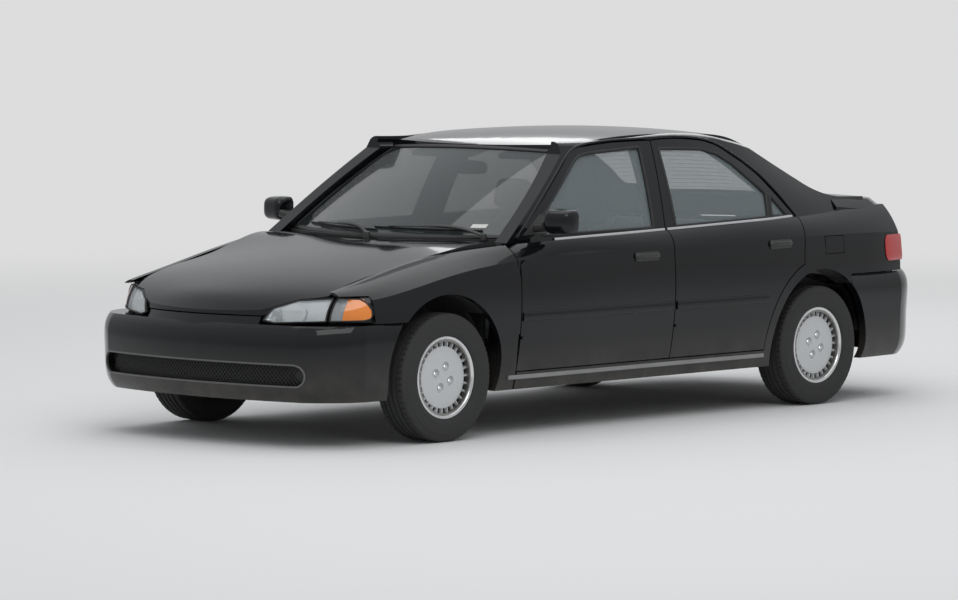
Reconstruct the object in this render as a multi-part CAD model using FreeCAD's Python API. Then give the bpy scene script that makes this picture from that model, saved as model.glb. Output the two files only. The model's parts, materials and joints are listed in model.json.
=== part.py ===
import FreeCAD, Part
import math
import os

# A compact four-door sedan of the early 1990s, in millimetres.
# Z is up, the car faces -Y, +X is its left side, and the origin is on the ground below its middle.

V = FreeCAD.Vector

# Overall layout
BODY_LENGTH = 4395.0
BODY_HALF_WIDTH = 847.5
FRONT_AXLE_Y = -1397.5
REAR_AXLE_Y = 1222.5
TRACK = 1470.0
FRONT_FACE_Y = -BODY_LENGTH / 2
REAR_FACE_Y = BODY_LENGTH / 2

# Wheels and tyres
TYRE_RADIUS = 288.0
TYRE_WIDTH = 175.0
TYRE_TREAD_WIDTH = 142.0
RIM_SEAT_RADIUS = 166.0
RIM_FLANGE_RADIUS = 180.0
RIM_WIDTH = 140.0
RIM_WALL = 5.0
COVER_RADIUS = 186.0
HUB_BORE_RADIUS = 20.3
SPINDLE_RADIUS = 20.0
LUG_CIRCLE_RADIUS = 50.0
LUG_RECESS_RADIUS = 17.0
COVER_GROOVE_INNER = 136.0
COVER_GROOVE_OUTER = 150.0
COVER_OFFSET = -20.0

# Body walls and gaps
SKIN = 28.0
SHUT_GAP = 6.0
WALL = 95.0
PILLAR_WALL = 75.0
SEAT_GAP = 0.3
GLASS_THICKNESS = 5.0
GLASS_INSET = 8.0
ARCH_RADIUS = 358.0
ARCH_CENTRE_Z = 300.0
SILL_INNER_X = 700.0
SILL_BOTTOM_Z = 205.0
SILL_TOP_Z = 330.0

# Door hinges: each axis is one distance behind its door's leading edge and another under the widest skin
HINGE_INSET = 15.0
HINGE_DEPTH = 10.0
HINGE_ROUND = 16.0
HINGE_POCKET = 29.0
CORNER_POCKET = 110.0
CORNER_POCKET_Z = (705.0, 862.0)
HINGE_X = BODY_HALF_WIDTH - HINGE_DEPTH
HINGE_LUG_THICKNESS = 12.0
HINGE_LUG_RADIUS = 7.0
HINGE_LUG_HEIGHTS = (440.0, 640.0)
FRONT_DOOR_EDGE_Y = -935.0
REAR_DOOR_EDGE_Y = 125.0

# Side form, nose to tail. Columns: y, then x and z of the sill's lower edge, of the widest line,
# of the shoulder crease and of the upper edge, which is the belt between the pillars.
SIDE_STATIONS = (
    (-2080.0, 600.0, 225.0, 650.0, 480.0, 640.0, 620.0, 560.0, 640.0),
    (-1945.0, 700.0, 220.0, 738.0, 490.0, 716.0, 634.0, 650.0, 684.0),
    (-1850.0, 750.0, 215.0, 785.0, 500.0, 756.0, 645.0, 655.0, 705.0),
    (-1400.0, 785.0, 205.0, 834.0, 530.0, 824.0, 735.0, 664.0, 806.0),
    (-900.0, 790.0, 205.0, 847.5, 540.0, 838.0, 792.0, 785.0, 860.0),
    (0.0, 790.0, 205.0, 847.5, 545.0, 840.0, 806.0, 797.0, 880.0),
    (900.0, 790.0, 205.0, 847.5, 545.0, 836.0, 816.0, 786.0, 902.0),
    (1400.0, 785.0, 205.0, 836.0, 545.0, 822.0, 818.0, 735.0, 922.0),
    (1850.0, 762.0, 210.0, 806.0, 540.0, 790.0, 812.0, 690.0, 944.0),
    (2090.0, 700.0, 215.0, 742.0, 530.0, 724.0, 800.0, 640.0, 930.0),
)

# Greenhouse side. Columns: y, x at the belt, x at the drip, z of the drip, x and z of the roof's edge.
HOUSE_STATIONS = (
    (-1000.0, 768.0, 598.0, 1262.0, 548.0, 1277.0),
    (-300.0, 783.0, 604.0, 1284.0, 553.0, 1301.0),
    (300.0, 786.0, 606.0, 1303.0, 553.0, 1322.0),
    (620.0, 782.0, 602.0, 1297.0, 550.0, 1316.0),
    (900.0, 774.0, 592.0, 1254.0, 539.0, 1271.0),
    (1750.0, 690.0, 560.0, 1150.0, 505.0, 1168.0),
)
HOUSE_DIP = 14.0
RECESS_DIP = 8.0

# Crowned panels. Columns: y, z at the side, z at the middle.
ROOF_HALF = 553.0
ROOF_STATIONS = (
    (-400.0, 1254.0, 1270.0),
    (-250.0, 1292.0, 1305.0),
    (0.0, 1315.0, 1334.0),
    (300.0, 1323.0, 1347.0),
    (620.0, 1316.0, 1340.0),
    (820.0, 1294.0, 1318.0),
    (925.0, 1259.0, 1287.0),
    (1000.0, 1226.0, 1254.0),
)
HOOD_HALF = 790.0
HOOD_STATIONS = (
    (-2160.0, 350.0, 585.0),
    (-2100.0, 430.0, 640.0),
    (-2030.0, 553.0, 678.0),
    (-1900.0, 660.0, 720.0),
    (-1700.0, 724.0, 768.0),
    (-1400.0, 792.0, 822.0),
    (-960.0, 858.0, 884.0),
)
DECK_HALF = 740.0
DECK_STATIONS = (
    (1430.0, 976.0, 1003.0),
    (1500.0, 974.0, 1000.0),
    (1702.0, 971.0, 994.0),
    (1950.0, 960.0, 982.0),
    (2230.0, 940.0, 962.0),
)
PANEL = 26.0
DECK_EDGE_X = 646.0
DECK_EDGE_Y = 1562.0

# Bumpers and the forms above them are plan outlines stacked in height.
# Plan columns: x, distance behind the face. Level columns: z, drawn in along Y, drawn in along X.
FRONT_PLAN = ((600.0, 72.0), (728.0, 172.0), (798.0, 305.0), (822.0, 640.0))
REAR_PLAN = ((540.0, 44.0), (722.0, 165.0), (806.0, 320.0), (836.0, 740.0))
NOSE_PLAN = ((500.0, 118.0), (690.0, 238.0), (783.0, 338.0), (822.0, 640.0))
TAIL_PLAN = ((480.0, 38.0), (690.0, 160.0), (806.0, 330.0), (836.0, 740.0))
FRONT_BUMPER_LEVELS = ((205.0, 42.0, 30.0), (262.0, 10.0, 8.0), (420.0, 0.0, 0.0), (515.0, 14.0, 4.0),
                       (541.0, 34.0, 12.0))
REAR_BUMPER_LEVELS = ((205.0, 45.0, 30.0), (262.0, 10.0, 8.0), (430.0, 0.0, 0.0), (590.0, 8.0, 4.0),
                      (618.0, 30.0, 16.0))
NOSE_LEVELS = ((520.0, 24.0, 5.0), (600.0, 40.0, 8.0), (680.0, 100.0, 14.0))
TAIL_LEVELS = ((624.0, 44.0, 8.0), (760.0, 52.0, 16.0), (870.0, 74.0, 56.0), (940.0, 122.0, 110.0),
               (1010.0, 220.0, 190.0))
BUMPER_SHELF = ((529.0, 31.0, 10.0), (541.0, 34.0, 12.0))
BUMPER_WALL = 40.0
LAMP_DEPTH = 60.0
LAMP_BACK = (420.0, 490.0, 575.0, 605.0)
LAMP_BACK_Y = -1965.0
LAMP_TAB = 11.0
INTAKE_HALF = 640.0
INTAKE_Z = (275.0, 372.0)
BAND_HALF = 352.0
BAND_TOP_Z = 572.0

# Hinges of the hood and the trunk lid: a lug on the body in a slot of the moving panel.
# Each axis runs along X; columns: y, z, x of the lug's inner side, lug radius.
HOOD_HINGE = (-985.0, 846.0, 674.0, 6.0)
LID_HINGE = (1714.0, 972.0, 514.0, 7.0)
LUG_WIDTH = 12.0
LID_POCKET = (28.5, 20.0)
LID_FRONT_GAP = 10.0

# Side-view outlines, as (y, z); "m" marks the middle of an arc.
FRONT_DOOR = ((-935.0, 290.0), (-935.0, 712.0), (-962.0, 842.0), (-903.0, 860.0), (-392.0, 1235.0),
              (-330.0, 1265.0, "m"), (-250.0, 1277.0), (-60.0, 1289.0, "m"), (211.0, 1294.0), (126.0, 900.0),
              (119.0, 780.0), (119.0, 290.0))
REAR_DOOR = ((125.0, 290.0), (125.0, 780.0), (132.0, 900.0), (217.0, 1294.0), (370.0, 1299.0, "m"),
             (526.0, 1290.0), (620.0, 1277.0, "m"), (700.0, 1252.0), (844.0, 1174.0), (941.0, 1108.0),
             (1030.0, 1015.0), (1117.0, 902.0), (1090.0, 790.0, "m"), (1080.0, 688.0), (884.0, 537.0, "m"),
             (810.0, 290.0))
FRONT_BOX = ((-885.0, 336.0), (-885.0, 828.0), (60.0, 842.0), (60.0, 336.0))
REAR_BOX = ((190.0, 336.0), (190.0, 846.0), (915.0, 858.0), (870.0, 740.0), (780.0, 540.0), (755.0, 336.0))
FRONT_OPENING = ((-891.0, 330.0), (-891.0, 828.0), (-372.0, 1213.0), (-240.0, 1248.0), (135.0, 1268.0),
                 (66.0, 890.0), (66.0, 330.0))
REAR_OPENING = ((184.0, 330.0), (184.0, 890.0), (232.0, 1266.0), (565.0, 1256.0), (680.0, 1228.0),
                (785.0, 1166.0), (865.0, 1106.0), (960.0, 1036.0), (1064.0, 918.0), (931.0, 868.0),
                (886.0, 740.0), (796.0, 538.0), (771.0, 330.0))
FRONT_WINDOW = ((-706.0, 888.0), (-690.0, 962.0), (-366.0, 1204.0), (-320.0, 1234.0, "m"), (-245.0, 1247.0),
                (120.0, 1266.0), (50.0, 896.0))
REAR_WINDOW = ((207.0, 898.0), (250.0, 1256.0), (560.0, 1246.0), (665.0, 1221.0, "m"), (761.0, 1170.0),
               (841.0, 1108.0), (943.0, 1027.0), (902.0, 914.0))
QUARTER_WINDOW = ((929.0, 916.0), (970.0, 1018.0), (1054.0, 918.0))
CABIN_SIDE = ((-1043.7, 205.0), (-1043.7, 796.0), (-976.0, 796.0), (-945.0, 866.0), (-428.0, 1248.0),
              (-400.0, 1420.0), (790.0, 1420.0), (820.0, 1330.0), (895.0, 1274.0), (1285.0, 1079.0),
              (1420.0, 1018.0, "m"), (1580.0, 990.0), (1880.0, 982.0), (1880.0, 624.0), (1450.0, 624.0),
              (1450.0, 205.0))
FENDER_SIDE = ((-941.0, 205.0), (-941.0, 712.0), (-969.0, 848.0), (-945.0, 900.0), (-1945.0, 900.0),
               (-1945.0, 668.0), (-1820.0, 668.0), (-1820.0, 547.0), (-1500.0, 547.0), (-1500.0, 205.0))
HEADLAMP = ((375.0, 556.0), (425.0, 546.0), (634.0, 556.0), (634.0, 657.0), (500.0, 646.0), (410.0, 612.0))
CORNER_LAMP = ((646.0, 556.0), (905.0, 566.0), (925.0, 600.0), (905.0, 650.0), (646.0, 659.0))
CORNER_LAMP_END_Y = -1826.0
TAIL_LAMP = ((430.0, 672.0), (930.0, 672.0), (930.0, 800.0), (640.0, 826.0), (430.0, 832.0))
TAIL_LAMP_END_Y = 1900.0
LID_TOP = ((-604.0, 1702.0), (-604.0, 2300.0), (604.0, 2300.0), (604.0, 1702.0))
LID_REAR = ((-604.0, 1100.0), (-604.0, 842.0), (-418.0, 842.0), (-418.0, 640.0), (418.0, 640.0),
            (418.0, 842.0), (604.0, 842.0), (604.0, 1100.0))

# Fuel door, upright hinge near its front edge. Columns: y and z limits; then x and y of the axis.
FUEL_DOOR = (1256.0, 1400.0, 730.0, 811.0)
FUEL_HINGE = (824.0, 1266.0)
FUEL_DOOR_SKIN = 5.0
FUEL_RECESS_X = 788.0
FUEL_LUG = (764.0, 776.0)

# Glass ahead and behind, as rows from the bottom up. Columns: half width, y and z at the side,
# y and z at the middle.
WINDSCREEN_ROWS = ((702.0, -842.0, 880.0, -1050.0, 872.0), (634.0, -560.0, 1088.0, -708.0, 1092.0),
                   (540.0, -318.0, 1256.0, -388.0, 1270.0))
REAR_WINDOW_ROWS = ((640.0, 1488.0, 970.0, 1540.0, 990.0), (592.0, 1215.0, 1103.0, 1264.0, 1126.0),
                    (534.0, 925.0, 1248.0, 962.0, 1266.0))

# Running gear
STEER_BALL = (690.0, 200.0)
STRUT_TOP = (575.0, 700.0)
STRUT_RADIUS = 20.0
TOWER_RADIUS = 78.0
TOWER_WALL = 8.0
KNUCKLE_RADIUS = 52.0
WHEELHOUSE_CLEAR = 372.0
REAR_HOUSE_CLEAR = 345.0
HOUSE_SHEET = 12.0
REAR_LINING = 30.0
FRONT_HOUSE_X = 462.0
REAR_HOUSE_X = 612.0
LEG_X = (396.0, 462.0)
LEG_Z = (340.0, 430.0)
REAR_BEAM_RADIUS = 26.0
HUB_RADIUS = 58.0
HUB_DEPTH = 62.0
SPINDLE_REACH = 50.0

# Floor and cabin
FLOOR_SHEET = 24.0
TRUNK_FLOOR_Z = 340.0
FIREWALL_Y = -1044.0
TAIL_PLATE = 20.0
COWL_Z = 816.0
COWL_SHEET = 16.0
COWL_PLAN = ((-696.0, -1016.0), (0.0, -1134.0, "m"), (696.0, -1016.0), (696.0, -826.0), (0.0, -1030.0, "m"),
             (-696.0, -826.0))
FLOOR_END_Y = 2020.0
STEERING_WHEEL_CENTRE = (370.0, -395.0, 800.0)
STEERING_WHEEL_RADIUS = 185.0
STEERING_RIM = 14.0
COLUMN_TILT = 25.0


def corner_path(points, place):
    """Closed wire through points; a point marked "m" is the middle of an arc."""
    ring = list(points) + [points[0]]
    edges = []
    i = 0
    while i < len(ring) - 1:
        a = place(ring[i][0], ring[i][1])
        if len(ring[i + 1]) > 2:
            m = place(ring[i + 1][0], ring[i + 1][1])
            b = place(ring[i + 2][0], ring[i + 2][1])
            edges.append(Part.Arc(a, m, b).toShape())
            i += 2
        else:
            b = place(ring[i + 1][0], ring[i + 1][1])
            edges.append(Part.LineSegment(a, b).toShape())
            i += 1
    return Part.Wire(edges)


def side_prism(points, x0, x1):
    """Solid from a side-view outline (y, z) between two x."""
    face = Part.Face(corner_path(points, lambda y, z: V(x0, y, z)))
    return face.extrude(V(x1 - x0, 0, 0))


def front_prism(points, y0, y1):
    """Solid from a front-view outline (x, z) between two y."""
    face = Part.Face(corner_path(points, lambda x, z: V(x, y0, z)))
    return face.extrude(V(0, y1 - y0, 0))


def plan_prism(points, z0, z1):
    """Solid from a plan outline (x, y) between two z."""
    face = Part.Face(corner_path(points, lambda x, y: V(x, y, z0)))
    return face.extrude(V(0, 0, z1 - z0))


def block(x0, x1, y0, y1, z0, z1):
    return Part.makeBox(x1 - x0, y1 - y0, z1 - z0, V(x0, y0, z0))


def rod(radius, start, end):
    axis = V(*end) - V(*start)
    return Part.makeCylinder(radius, axis.Length, V(*start), axis)


def mirrored(shape):
    return shape.mirror(V(0, 0, 0), V(1, 0, 0))


def save(name, *shapes):
    shape = shapes[0] if len(shapes) == 1 else Part.makeCompound(list(shapes))
    solids = shape.Solids
    out = solids[0] if len(solids) == 1 else Part.makeCompound(solids)
    out.exportStep("parts/%s.step" % name)
    print("%-18s solids %d valid %s litres %.2f" % (name, len(solids), shape.isValid(), shape.Volume / 1e6))


def side_layer(outer, inner, dip=0.0):
    """The whole left side, lower body and greenhouse, between two depths."""
    return flank_layer(outer, inner).fuse(house_layer(outer, min(inner, PILLAR_WALL), dip))


def flank_layer(outer, inner):
    """Lower body side between two depths from its skin, from nose to tail."""
    wires = []
    for y, xs, zs, xw, zw, xh, zh, xb, zb in SIDE_STATIONS:
        xm, zm = (xh + xb) / 2 + 7.0, (zh + zb) / 2 + 5.0
        ring = ((xs - outer, zs), (xw - outer, zw, "m"), (xh - outer, zh), (xm - outer, zm, "m"),
                (xb - outer, zb), (xb - inner, zb), (xm - inner, zm, "m"), (xh - inner, zh),
                (xw - inner, zw, "m"), (xs - inner, zs))
        wires.append(corner_path(ring, lambda x, z, y=y: V(x, y, z)))
    return Part.makeLoft(wires, True, False)


def belt_z(y):
    """Height of the belt line at a station."""
    rows = SIDE_STATIONS
    for a, b in zip(rows, rows[1:]):
        if a[0] <= y <= b[0]:
            return a[8] + (b[8] - a[8]) * (y - a[0]) / (b[0] - a[0])
    return rows[-1][8]


def house_layer(outer, inner, dip=0.0):
    """Greenhouse side between two depths, from a dip below the belt up and over the roof rail."""
    wires = []
    for y, xb, xd, zd, xr, zr in HOUSE_STATIONS:
        z0 = belt_z(y) - HOUSE_DIP - dip
        xm, zm = (xb + xd) / 2 + 9.0, (z0 + zd) / 2
        xe, ze = (xd + xr) / 2 + 8.0, (zd + zr) / 2 + 4.0
        drop = inner * 0.4
        ring = ((xb - outer, z0), (xm - outer, zm, "m"), (xd - outer, zd), (xe - outer * 0.5, ze, "m"),
                (xr, zr - outer * 0.4), (xr, zr - drop), (xd - inner, zd - drop),
                (xm - inner, zm, "m"), (xb - inner, z0))
        wires.append(corner_path(ring, lambda x, z, y=y: V(x, y, z)))
    return Part.makeLoft(wires, True, False)


def crowned(stations, half, thickness, drop=0.0):
    """Panel lofted through crowned sections that are arcs from side to side."""
    wires = []
    for y, z_side, z_mid in stations:
        top_side, top_mid = z_side - drop, z_mid - drop
        ring = ((-half, top_side), (0.0, top_mid, "m"), (half, top_side), (half, top_side - thickness),
                (0.0, top_mid - thickness, "m"), (-half, top_side - thickness))
        wires.append(corner_path(ring, lambda x, z, y=y: V(x, y, z)))
    return Part.makeLoft(wires, True, False)


def stacked_form(levels, plan, face_y, drawn_in):
    """Solid inside a stack of rounded plan outlines; a negative face_y faces forwards."""
    sign = -1.0 if face_y > 0 else 1.0
    corner, turn, side, end = plan
    wires = []
    for z, in_y, in_x in levels:
        dy, dx = in_y + drawn_in, in_x + drawn_in
        half = [(end[0] - dx, end[1]), (side[0] - dx, side[1] + dy * 0.5),
                (turn[0] - dx * 0.8, turn[1] + dy * 0.8, "m"), (corner[0] - dx * 0.5, corner[1] + dy)]
        ring = [(x, face_y + sign * d) + tuple(rest) for x, d, *rest in half]
        ring.append((0.0, face_y + sign * dy, "m"))
        ring += [(-p[0], p[1]) + tuple(p[2:]) for p in reversed(ring[:4])]
        wires.append(corner_path(ring, lambda x, y, z=z: V(x, y, z)))
    return Part.makeLoft(wires, True, False)


def shell_form(levels, plan, face_y, wall):
    """Hollow form: the stack less the same stack drawn in by the wall."""
    return stacked_form(levels, plan, face_y, 0.0).cut(stacked_form(levels, plan, face_y, wall))


def grown(points, gap):
    """The outline with each corner moved outwards from its neighbours by about a gap."""
    area = sum(a[0] * b[1] - b[0] * a[1] for a, b in zip(points, points[1:] + points[:1]))
    turn = 1.0 if area > 0 else -1.0
    out = []
    n = len(points)
    for i, p in enumerate(points):
        a, b = points[i - 1], points[(i + 1) % n]
        n1 = unit(turn * (p[1] - a[1]), -turn * (p[0] - a[0]))
        n2 = unit(turn * (b[1] - p[1]), -turn * (b[0] - p[0]))
        k = gap / max(0.25, 1.0 + n1[0] * n2[0] + n1[1] * n2[1])
        out.append((p[0] + (n1[0] + n2[0]) * k, p[1] + (n1[1] + n2[1]) * k) + tuple(p[2:]))
    return tuple(out)


def unit(a, b):
    r = math.hypot(a, b)
    return (a / r, b / r)


def wheel_drum(radius, axle_y, x0, x1):
    """Cylinder about an axle, between two x, used to open the arches and to form their linings."""
    return rod(radius, (x0, axle_y, TYRE_RADIUS), (x1, axle_y, TYRE_RADIUS))


def arch_drum(axle_y):
    return rod(ARCH_RADIUS, (560.0, axle_y, ARCH_CENTRE_Z), (950.0, axle_y, ARCH_CENTRE_Z))


def hinge_pocket(edge_y):
    """Round channel inboard of a door's hinge axis, in which its leading edge turns."""
    y = edge_y + HINGE_INSET
    channel = rod(HINGE_POCKET, (HINGE_X, y, SILL_BOTTOM_Z + 60.0), (HINGE_X, y, 860.0))
    inboard = block(HINGE_X - HINGE_POCKET, HINGE_X + 2.0, y - 60.0, y + 60.0, SILL_BOTTOM_Z, 900.0)
    return channel.common(inboard)


def hinge_round(edge_y):
    """What a door's leading outer corner loses, so that it turns about the axis inside its own gap."""
    y = edge_y + HINGE_INSET
    corner = block(HINGE_X, BODY_HALF_WIDTH + 50.0, y - 2.0 * HINGE_INSET, y, SILL_BOTTOM_Z, 860.0)
    return corner.cut(rod(HINGE_ROUND, (HINGE_X, y, SILL_BOTTOM_Z), (HINGE_X, y, 860.0)))


def hinge_lugs(edge_y):
    """The body's hinge eyes at one door edge."""
    y = edge_y + HINGE_INSET
    half = HINGE_LUG_THICKNESS / 2
    radius = HINGE_LUG_RADIUS
    lugs = []
    for z in HINGE_LUG_HEIGHTS:
        eye = rod(radius, (HINGE_X, y, z - half), (HINGE_X, y, z + half))
        arm = block(HINGE_X - 45.0, HINGE_X, y - radius, y + radius, z - half, z + half)
        lugs.append(eye.fuse(arm))
    return lugs


def hinge_slots(edge_y):
    """Slots that the lugs sit in, open to the front so that the door can swing."""
    y = edge_y + HINGE_INSET
    half = HINGE_LUG_THICKNESS / 2 + SEAT_GAP
    radius = HINGE_LUG_RADIUS + SEAT_GAP
    slots = []
    for z in HINGE_LUG_HEIGHTS:
        eye = rod(radius, (HINGE_X, y, z - half), (HINGE_X, y, z + half))
        gap = block(HINGE_X - 90.0, HINGE_X, y - 60.0, y + radius, z - half, z + half)
        front = block(HINGE_X, HINGE_X + radius, y - 60.0, y, z - half, z + half)
        slots.append(eye.fuse(gap).fuse(front))
    return slots


def make_door(outline, box, windows, edge_y):
    """Door with its skin, inner box, window frame and hinge slots."""
    skin = side_layer(0.0, SKIN).common(side_prism(outline, 300.0, 950.0))
    inner = flank_layer(0, WALL).common(side_prism(box, 300.0, 950.0))
    door = skin.fuse(inner)
    for window in windows:
        door = door.cut(side_prism(window, 300.0, 950.0))
    for slot in hinge_slots(edge_y):
        door = door.cut(slot)
    return door.cut(hinge_round(edge_y))


def make_door_glass(windows):
    pane = house_layer(GLASS_INSET, GLASS_INSET + GLASS_THICKNESS)
    return [pane.common(side_prism(window, 300.0, 950.0)) for window in windows]


def glass_sheet(rows):
    """Curved pane lofted through flat arcs; each row is thickened in its own plane."""
    wires = []
    for half, y_side, z_side, y_mid, z_mid in rows:
        dy, dz = unit(y_side - y_mid, z_side - z_mid)
        ty, tz = dy * GLASS_THICKNESS * 2.0, dz * GLASS_THICKNESS * 2.0
        outer = ((-half, y_side, z_side), (0.0, y_mid, z_mid), (half, y_side, z_side))
        ends = [V(*p) for p in outer]
        backs = [V(x, y + ty, z + tz) for x, y, z in outer]
        wires.append(Part.Wire([Part.Arc(*ends).toShape(), Part.LineSegment(ends[2], backs[2]).toShape(),
                                Part.Arc(backs[2], backs[1], backs[0]).toShape(),
                                Part.LineSegment(backs[0], ends[0]).toShape()]))
    return Part.makeLoft(wires, True, False)


def door_space(outline):
    """Room that the skin is cut back to around a door."""
    reach = side_layer(-15.0, SKIN + SHUT_GAP, RECESS_DIP)
    return reach.common(side_prism(grown(outline, SHUT_GAP), 300.0, 950.0))


def make_body_side(screens):
    body = side_layer(0.0, WALL).common(side_prism(CABIN_SIDE, 300.0, 950.0))
    fender_zone = flank_layer(-15.0, SKIN + SHUT_GAP).common(
        side_prism(((-1100.0, 150.0), (-1100.0, 900.0), (-941.0, 900.0), (-929.0, 700.0), (-929.0, 150.0)),
                   300.0, 950.0))
    body = body.cut(fender_zone)
    for outline, opening, edge in ((FRONT_DOOR, FRONT_OPENING, FRONT_DOOR_EDGE_Y),
                                   (REAR_DOOR, REAR_OPENING, REAR_DOOR_EDGE_Y)):
        body = body.cut(door_space(outline))
        body = body.cut(side_prism(opening, 300.0, 950.0))
        body = body.cut(hinge_pocket(edge))
    # The front door's upper front corner lies further ahead of the hinge and swings inboard.
    y = FRONT_DOOR_EDGE_Y + HINGE_INSET
    body = body.cut(rod(CORNER_POCKET, (HINGE_X, y, CORNER_POCKET_Z[0]), (HINGE_X, y, CORNER_POCKET_Z[1])))
    body = body.cut(arch_drum(REAR_AXLE_Y))
    body = body.cut(block(500.0, SILL_INNER_X, -1100.0, 850.0, 100.0, 850.0))
    body = body.cut(block(500.0, DECK_EDGE_X, DECK_EDGE_Y, 2000.0, 700.0, 1010.0))
    sill = block(SILL_INNER_X, 755.0, FIREWALL_Y + SEAT_GAP, 850.0, SILL_BOTTOM_Z, SILL_TOP_Z)
    body = body.fuse(sill)
    lining = wheel_drum(REAR_HOUSE_CLEAR + REAR_LINING, REAR_AXLE_Y, REAR_HOUSE_X - HOUSE_SHEET, 770.0)
    lining = lining.common(block(500.0, 900.0, 850.0, 1600.0, TRUNK_FLOOR_Z, 700.0))
    body = body.fuse(lining).cut(wheel_drum(REAR_HOUSE_CLEAR, REAR_AXLE_Y, REAR_HOUSE_X, 950.0))
    for edge in (FRONT_DOOR_EDGE_Y, REAR_DOOR_EDGE_Y):
        for lug in hinge_lugs(edge):
            body = body.fuse(lug)
    for screen in screens:
        body = body.cut(screen)
    return body


def make_fender():
    fender = flank_layer(0, SKIN).common(side_prism(FENDER_SIDE, 300.0, 950.0))
    fender = fender.cut(arch_drum(FRONT_AXLE_Y)).cut(hinge_pocket(FRONT_DOOR_EDGE_Y))
    # A tab behind the skin meets the corner lamp's end.
    end_y = CORNER_LAMP_END_Y
    tab = block(600.0, 950.0, end_y + SEAT_GAP, end_y + LAMP_TAB, 585.0, 625.0)
    return fender.fuse(flank_layer(4.0, SKIN).common(tab))


def fuel_box(gap, x0, x1):
    y0, y1, z0, z1 = FUEL_DOOR
    return block(x0, x1, y0 - gap, y1 + gap, z0 - gap, z1 + gap)


def fuel_barrel(radius, z0, z1):
    return rod(radius, (FUEL_HINGE[0], FUEL_HINGE[1], z0), (FUEL_HINGE[0], FUEL_HINGE[1], z1))


def make_fuel_door():
    """Flap with a hinge barrel behind its front edge, slotted for the body's lug."""
    flap = flank_layer(0, FUEL_DOOR_SKIN).common(fuel_box(0.0, 700.0, 900.0))
    z0, z1 = FUEL_LUG
    flap = flap.fuse(fuel_barrel(5.5, z0 - 9.0, z1 + 9.0))
    x, y = FUEL_HINGE
    slot = fuel_barrel(4.0 + SEAT_GAP, z0 - SEAT_GAP, z1 + SEAT_GAP)
    slot = slot.fuse(block(x - 30.0, x + 4.0 + SEAT_GAP, y - 16.0, y, z0 - SEAT_GAP, z1 + SEAT_GAP))
    slot = slot.fuse(block(x - 30.0, x, y - 16.0, y + 4.0 + SEAT_GAP, z0 - SEAT_GAP, z1 + SEAT_GAP))
    return flap.cut(slot)


def fit_fuel_door(side):
    """The left body side with the fuel door's recess and its hinge lug."""
    x, y = FUEL_HINGE
    side = side.cut(fuel_box(SHUT_GAP / 2, FUEL_RECESS_X, 950.0))
    side = side.cut(fuel_barrel(16.5, FUEL_DOOR[2] - SHUT_GAP / 2, FUEL_DOOR[3] + SHUT_GAP / 2))
    z0, z1 = FUEL_LUG
    return side.fuse(fuel_barrel(4.0, z0, z1)).fuse(block(FUEL_RECESS_X - 4.0, x, y - 4.0, y + 4.0, z0, z1))


def cross_rod(hinge, radius, x0, x1):
    """Cylinder along X about a hood or lid hinge axis."""
    return rod(radius, (x0, hinge[0], hinge[1]), (x1, hinge[0], hinge[1]))


def make_hood():
    hood = crowned(HOOD_STATIONS, HOOD_HALF, PANEL)
    left = [(352.0, -2098.0), (505.0, -2008.0, "m"), (613.0, -1936.0), (616.0, -1850.0), (626.0, -1400.0),
            (730.0, -982.0)]
    right = [(-p[0], p[1]) + tuple(p[2:]) for p in reversed(left)]
    plan = left + [(0.0, -1095.0, "m")] + right + [(0.0, -2152.0, "m")]
    hood = hood.common(plan_prism(plan, 300.0, 1000.0))
    hood = hood.cut(block(-800.0, 800.0, -2300.0, -2020.0, 200.0, BAND_TOP_Z + SHUT_GAP))
    lamp = grown(HEADLAMP, SHUT_GAP)
    for sign in (1.0, -1.0):
        outline = tuple((sign * p[0], p[1]) for p in lamp)
        hood = hood.cut(front_prism(outline, -2300.0, -1850.0))
    y, z, x, radius = HOOD_HINGE
    tab = cross_rod(HOOD_HINGE, 8.0, x - 8.0, x + LUG_WIDTH + 8.0)
    tab = tab.fuse(block(x - 8.0, x + LUG_WIDTH + 8.0, y - 26.0, y, z - 8.0, z + 8.0))
    gap = radius + SEAT_GAP
    slot = cross_rod(HOOD_HINGE, gap, x - SEAT_GAP, x + LUG_WIDTH + SEAT_GAP)
    slot = slot.fuse(block(x - SEAT_GAP, x + LUG_WIDTH + SEAT_GAP, y - gap, y + 12.0, z - 12.0, z))
    slot = slot.fuse(block(x - SEAT_GAP, x + LUG_WIDTH + SEAT_GAP, y, y + 12.0, z - 12.0, z + gap))
    tab = tab.cut(slot)
    return hood.cut(slot).cut(mirrored(slot)).fuse(tab).fuse(mirrored(tab))


def wheel_profile(points):
    """Full turn of a profile given as (x, radius) about the axle line through the origin."""
    face = Part.Face(corner_path(points, lambda x, r: V(x, 0, r)))
    return face.revolve(V(0, 0, 0), V(1, 0, 0), 360)


def make_tyre():
    """Tyre about the origin, its outer sidewall towards +X."""
    half = TYRE_WIDTH / 2
    tread = TYRE_TREAD_WIDTH / 2
    rim = RIM_WIDTH / 2 - 10.0
    bead = RIM_FLANGE_RADIUS + SEAT_GAP
    seat = RIM_SEAT_RADIUS + SEAT_GAP
    wall = (TYRE_RADIUS + bead) / 2
    outer = [(-tread, TYRE_RADIUS), (tread, TYRE_RADIUS), (tread + 11.0, TYRE_RADIUS - 14.0, "m"),
             (half - 3.0, TYRE_RADIUS - 34.0), (half, wall, "m"), (rim + 6.0, bead), (rim - 1.0, bead),
             (rim - 1.0, seat), (rim - 16.0, seat), (half - 26.0, wall, "m"),
             (tread - 12.0, TYRE_RADIUS - 14.0)]
    mirror_side = [(-p[0], p[1]) + tuple(p[2:]) for p in reversed(outer[2:])]
    return wheel_profile(outer + mirror_side)


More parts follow.
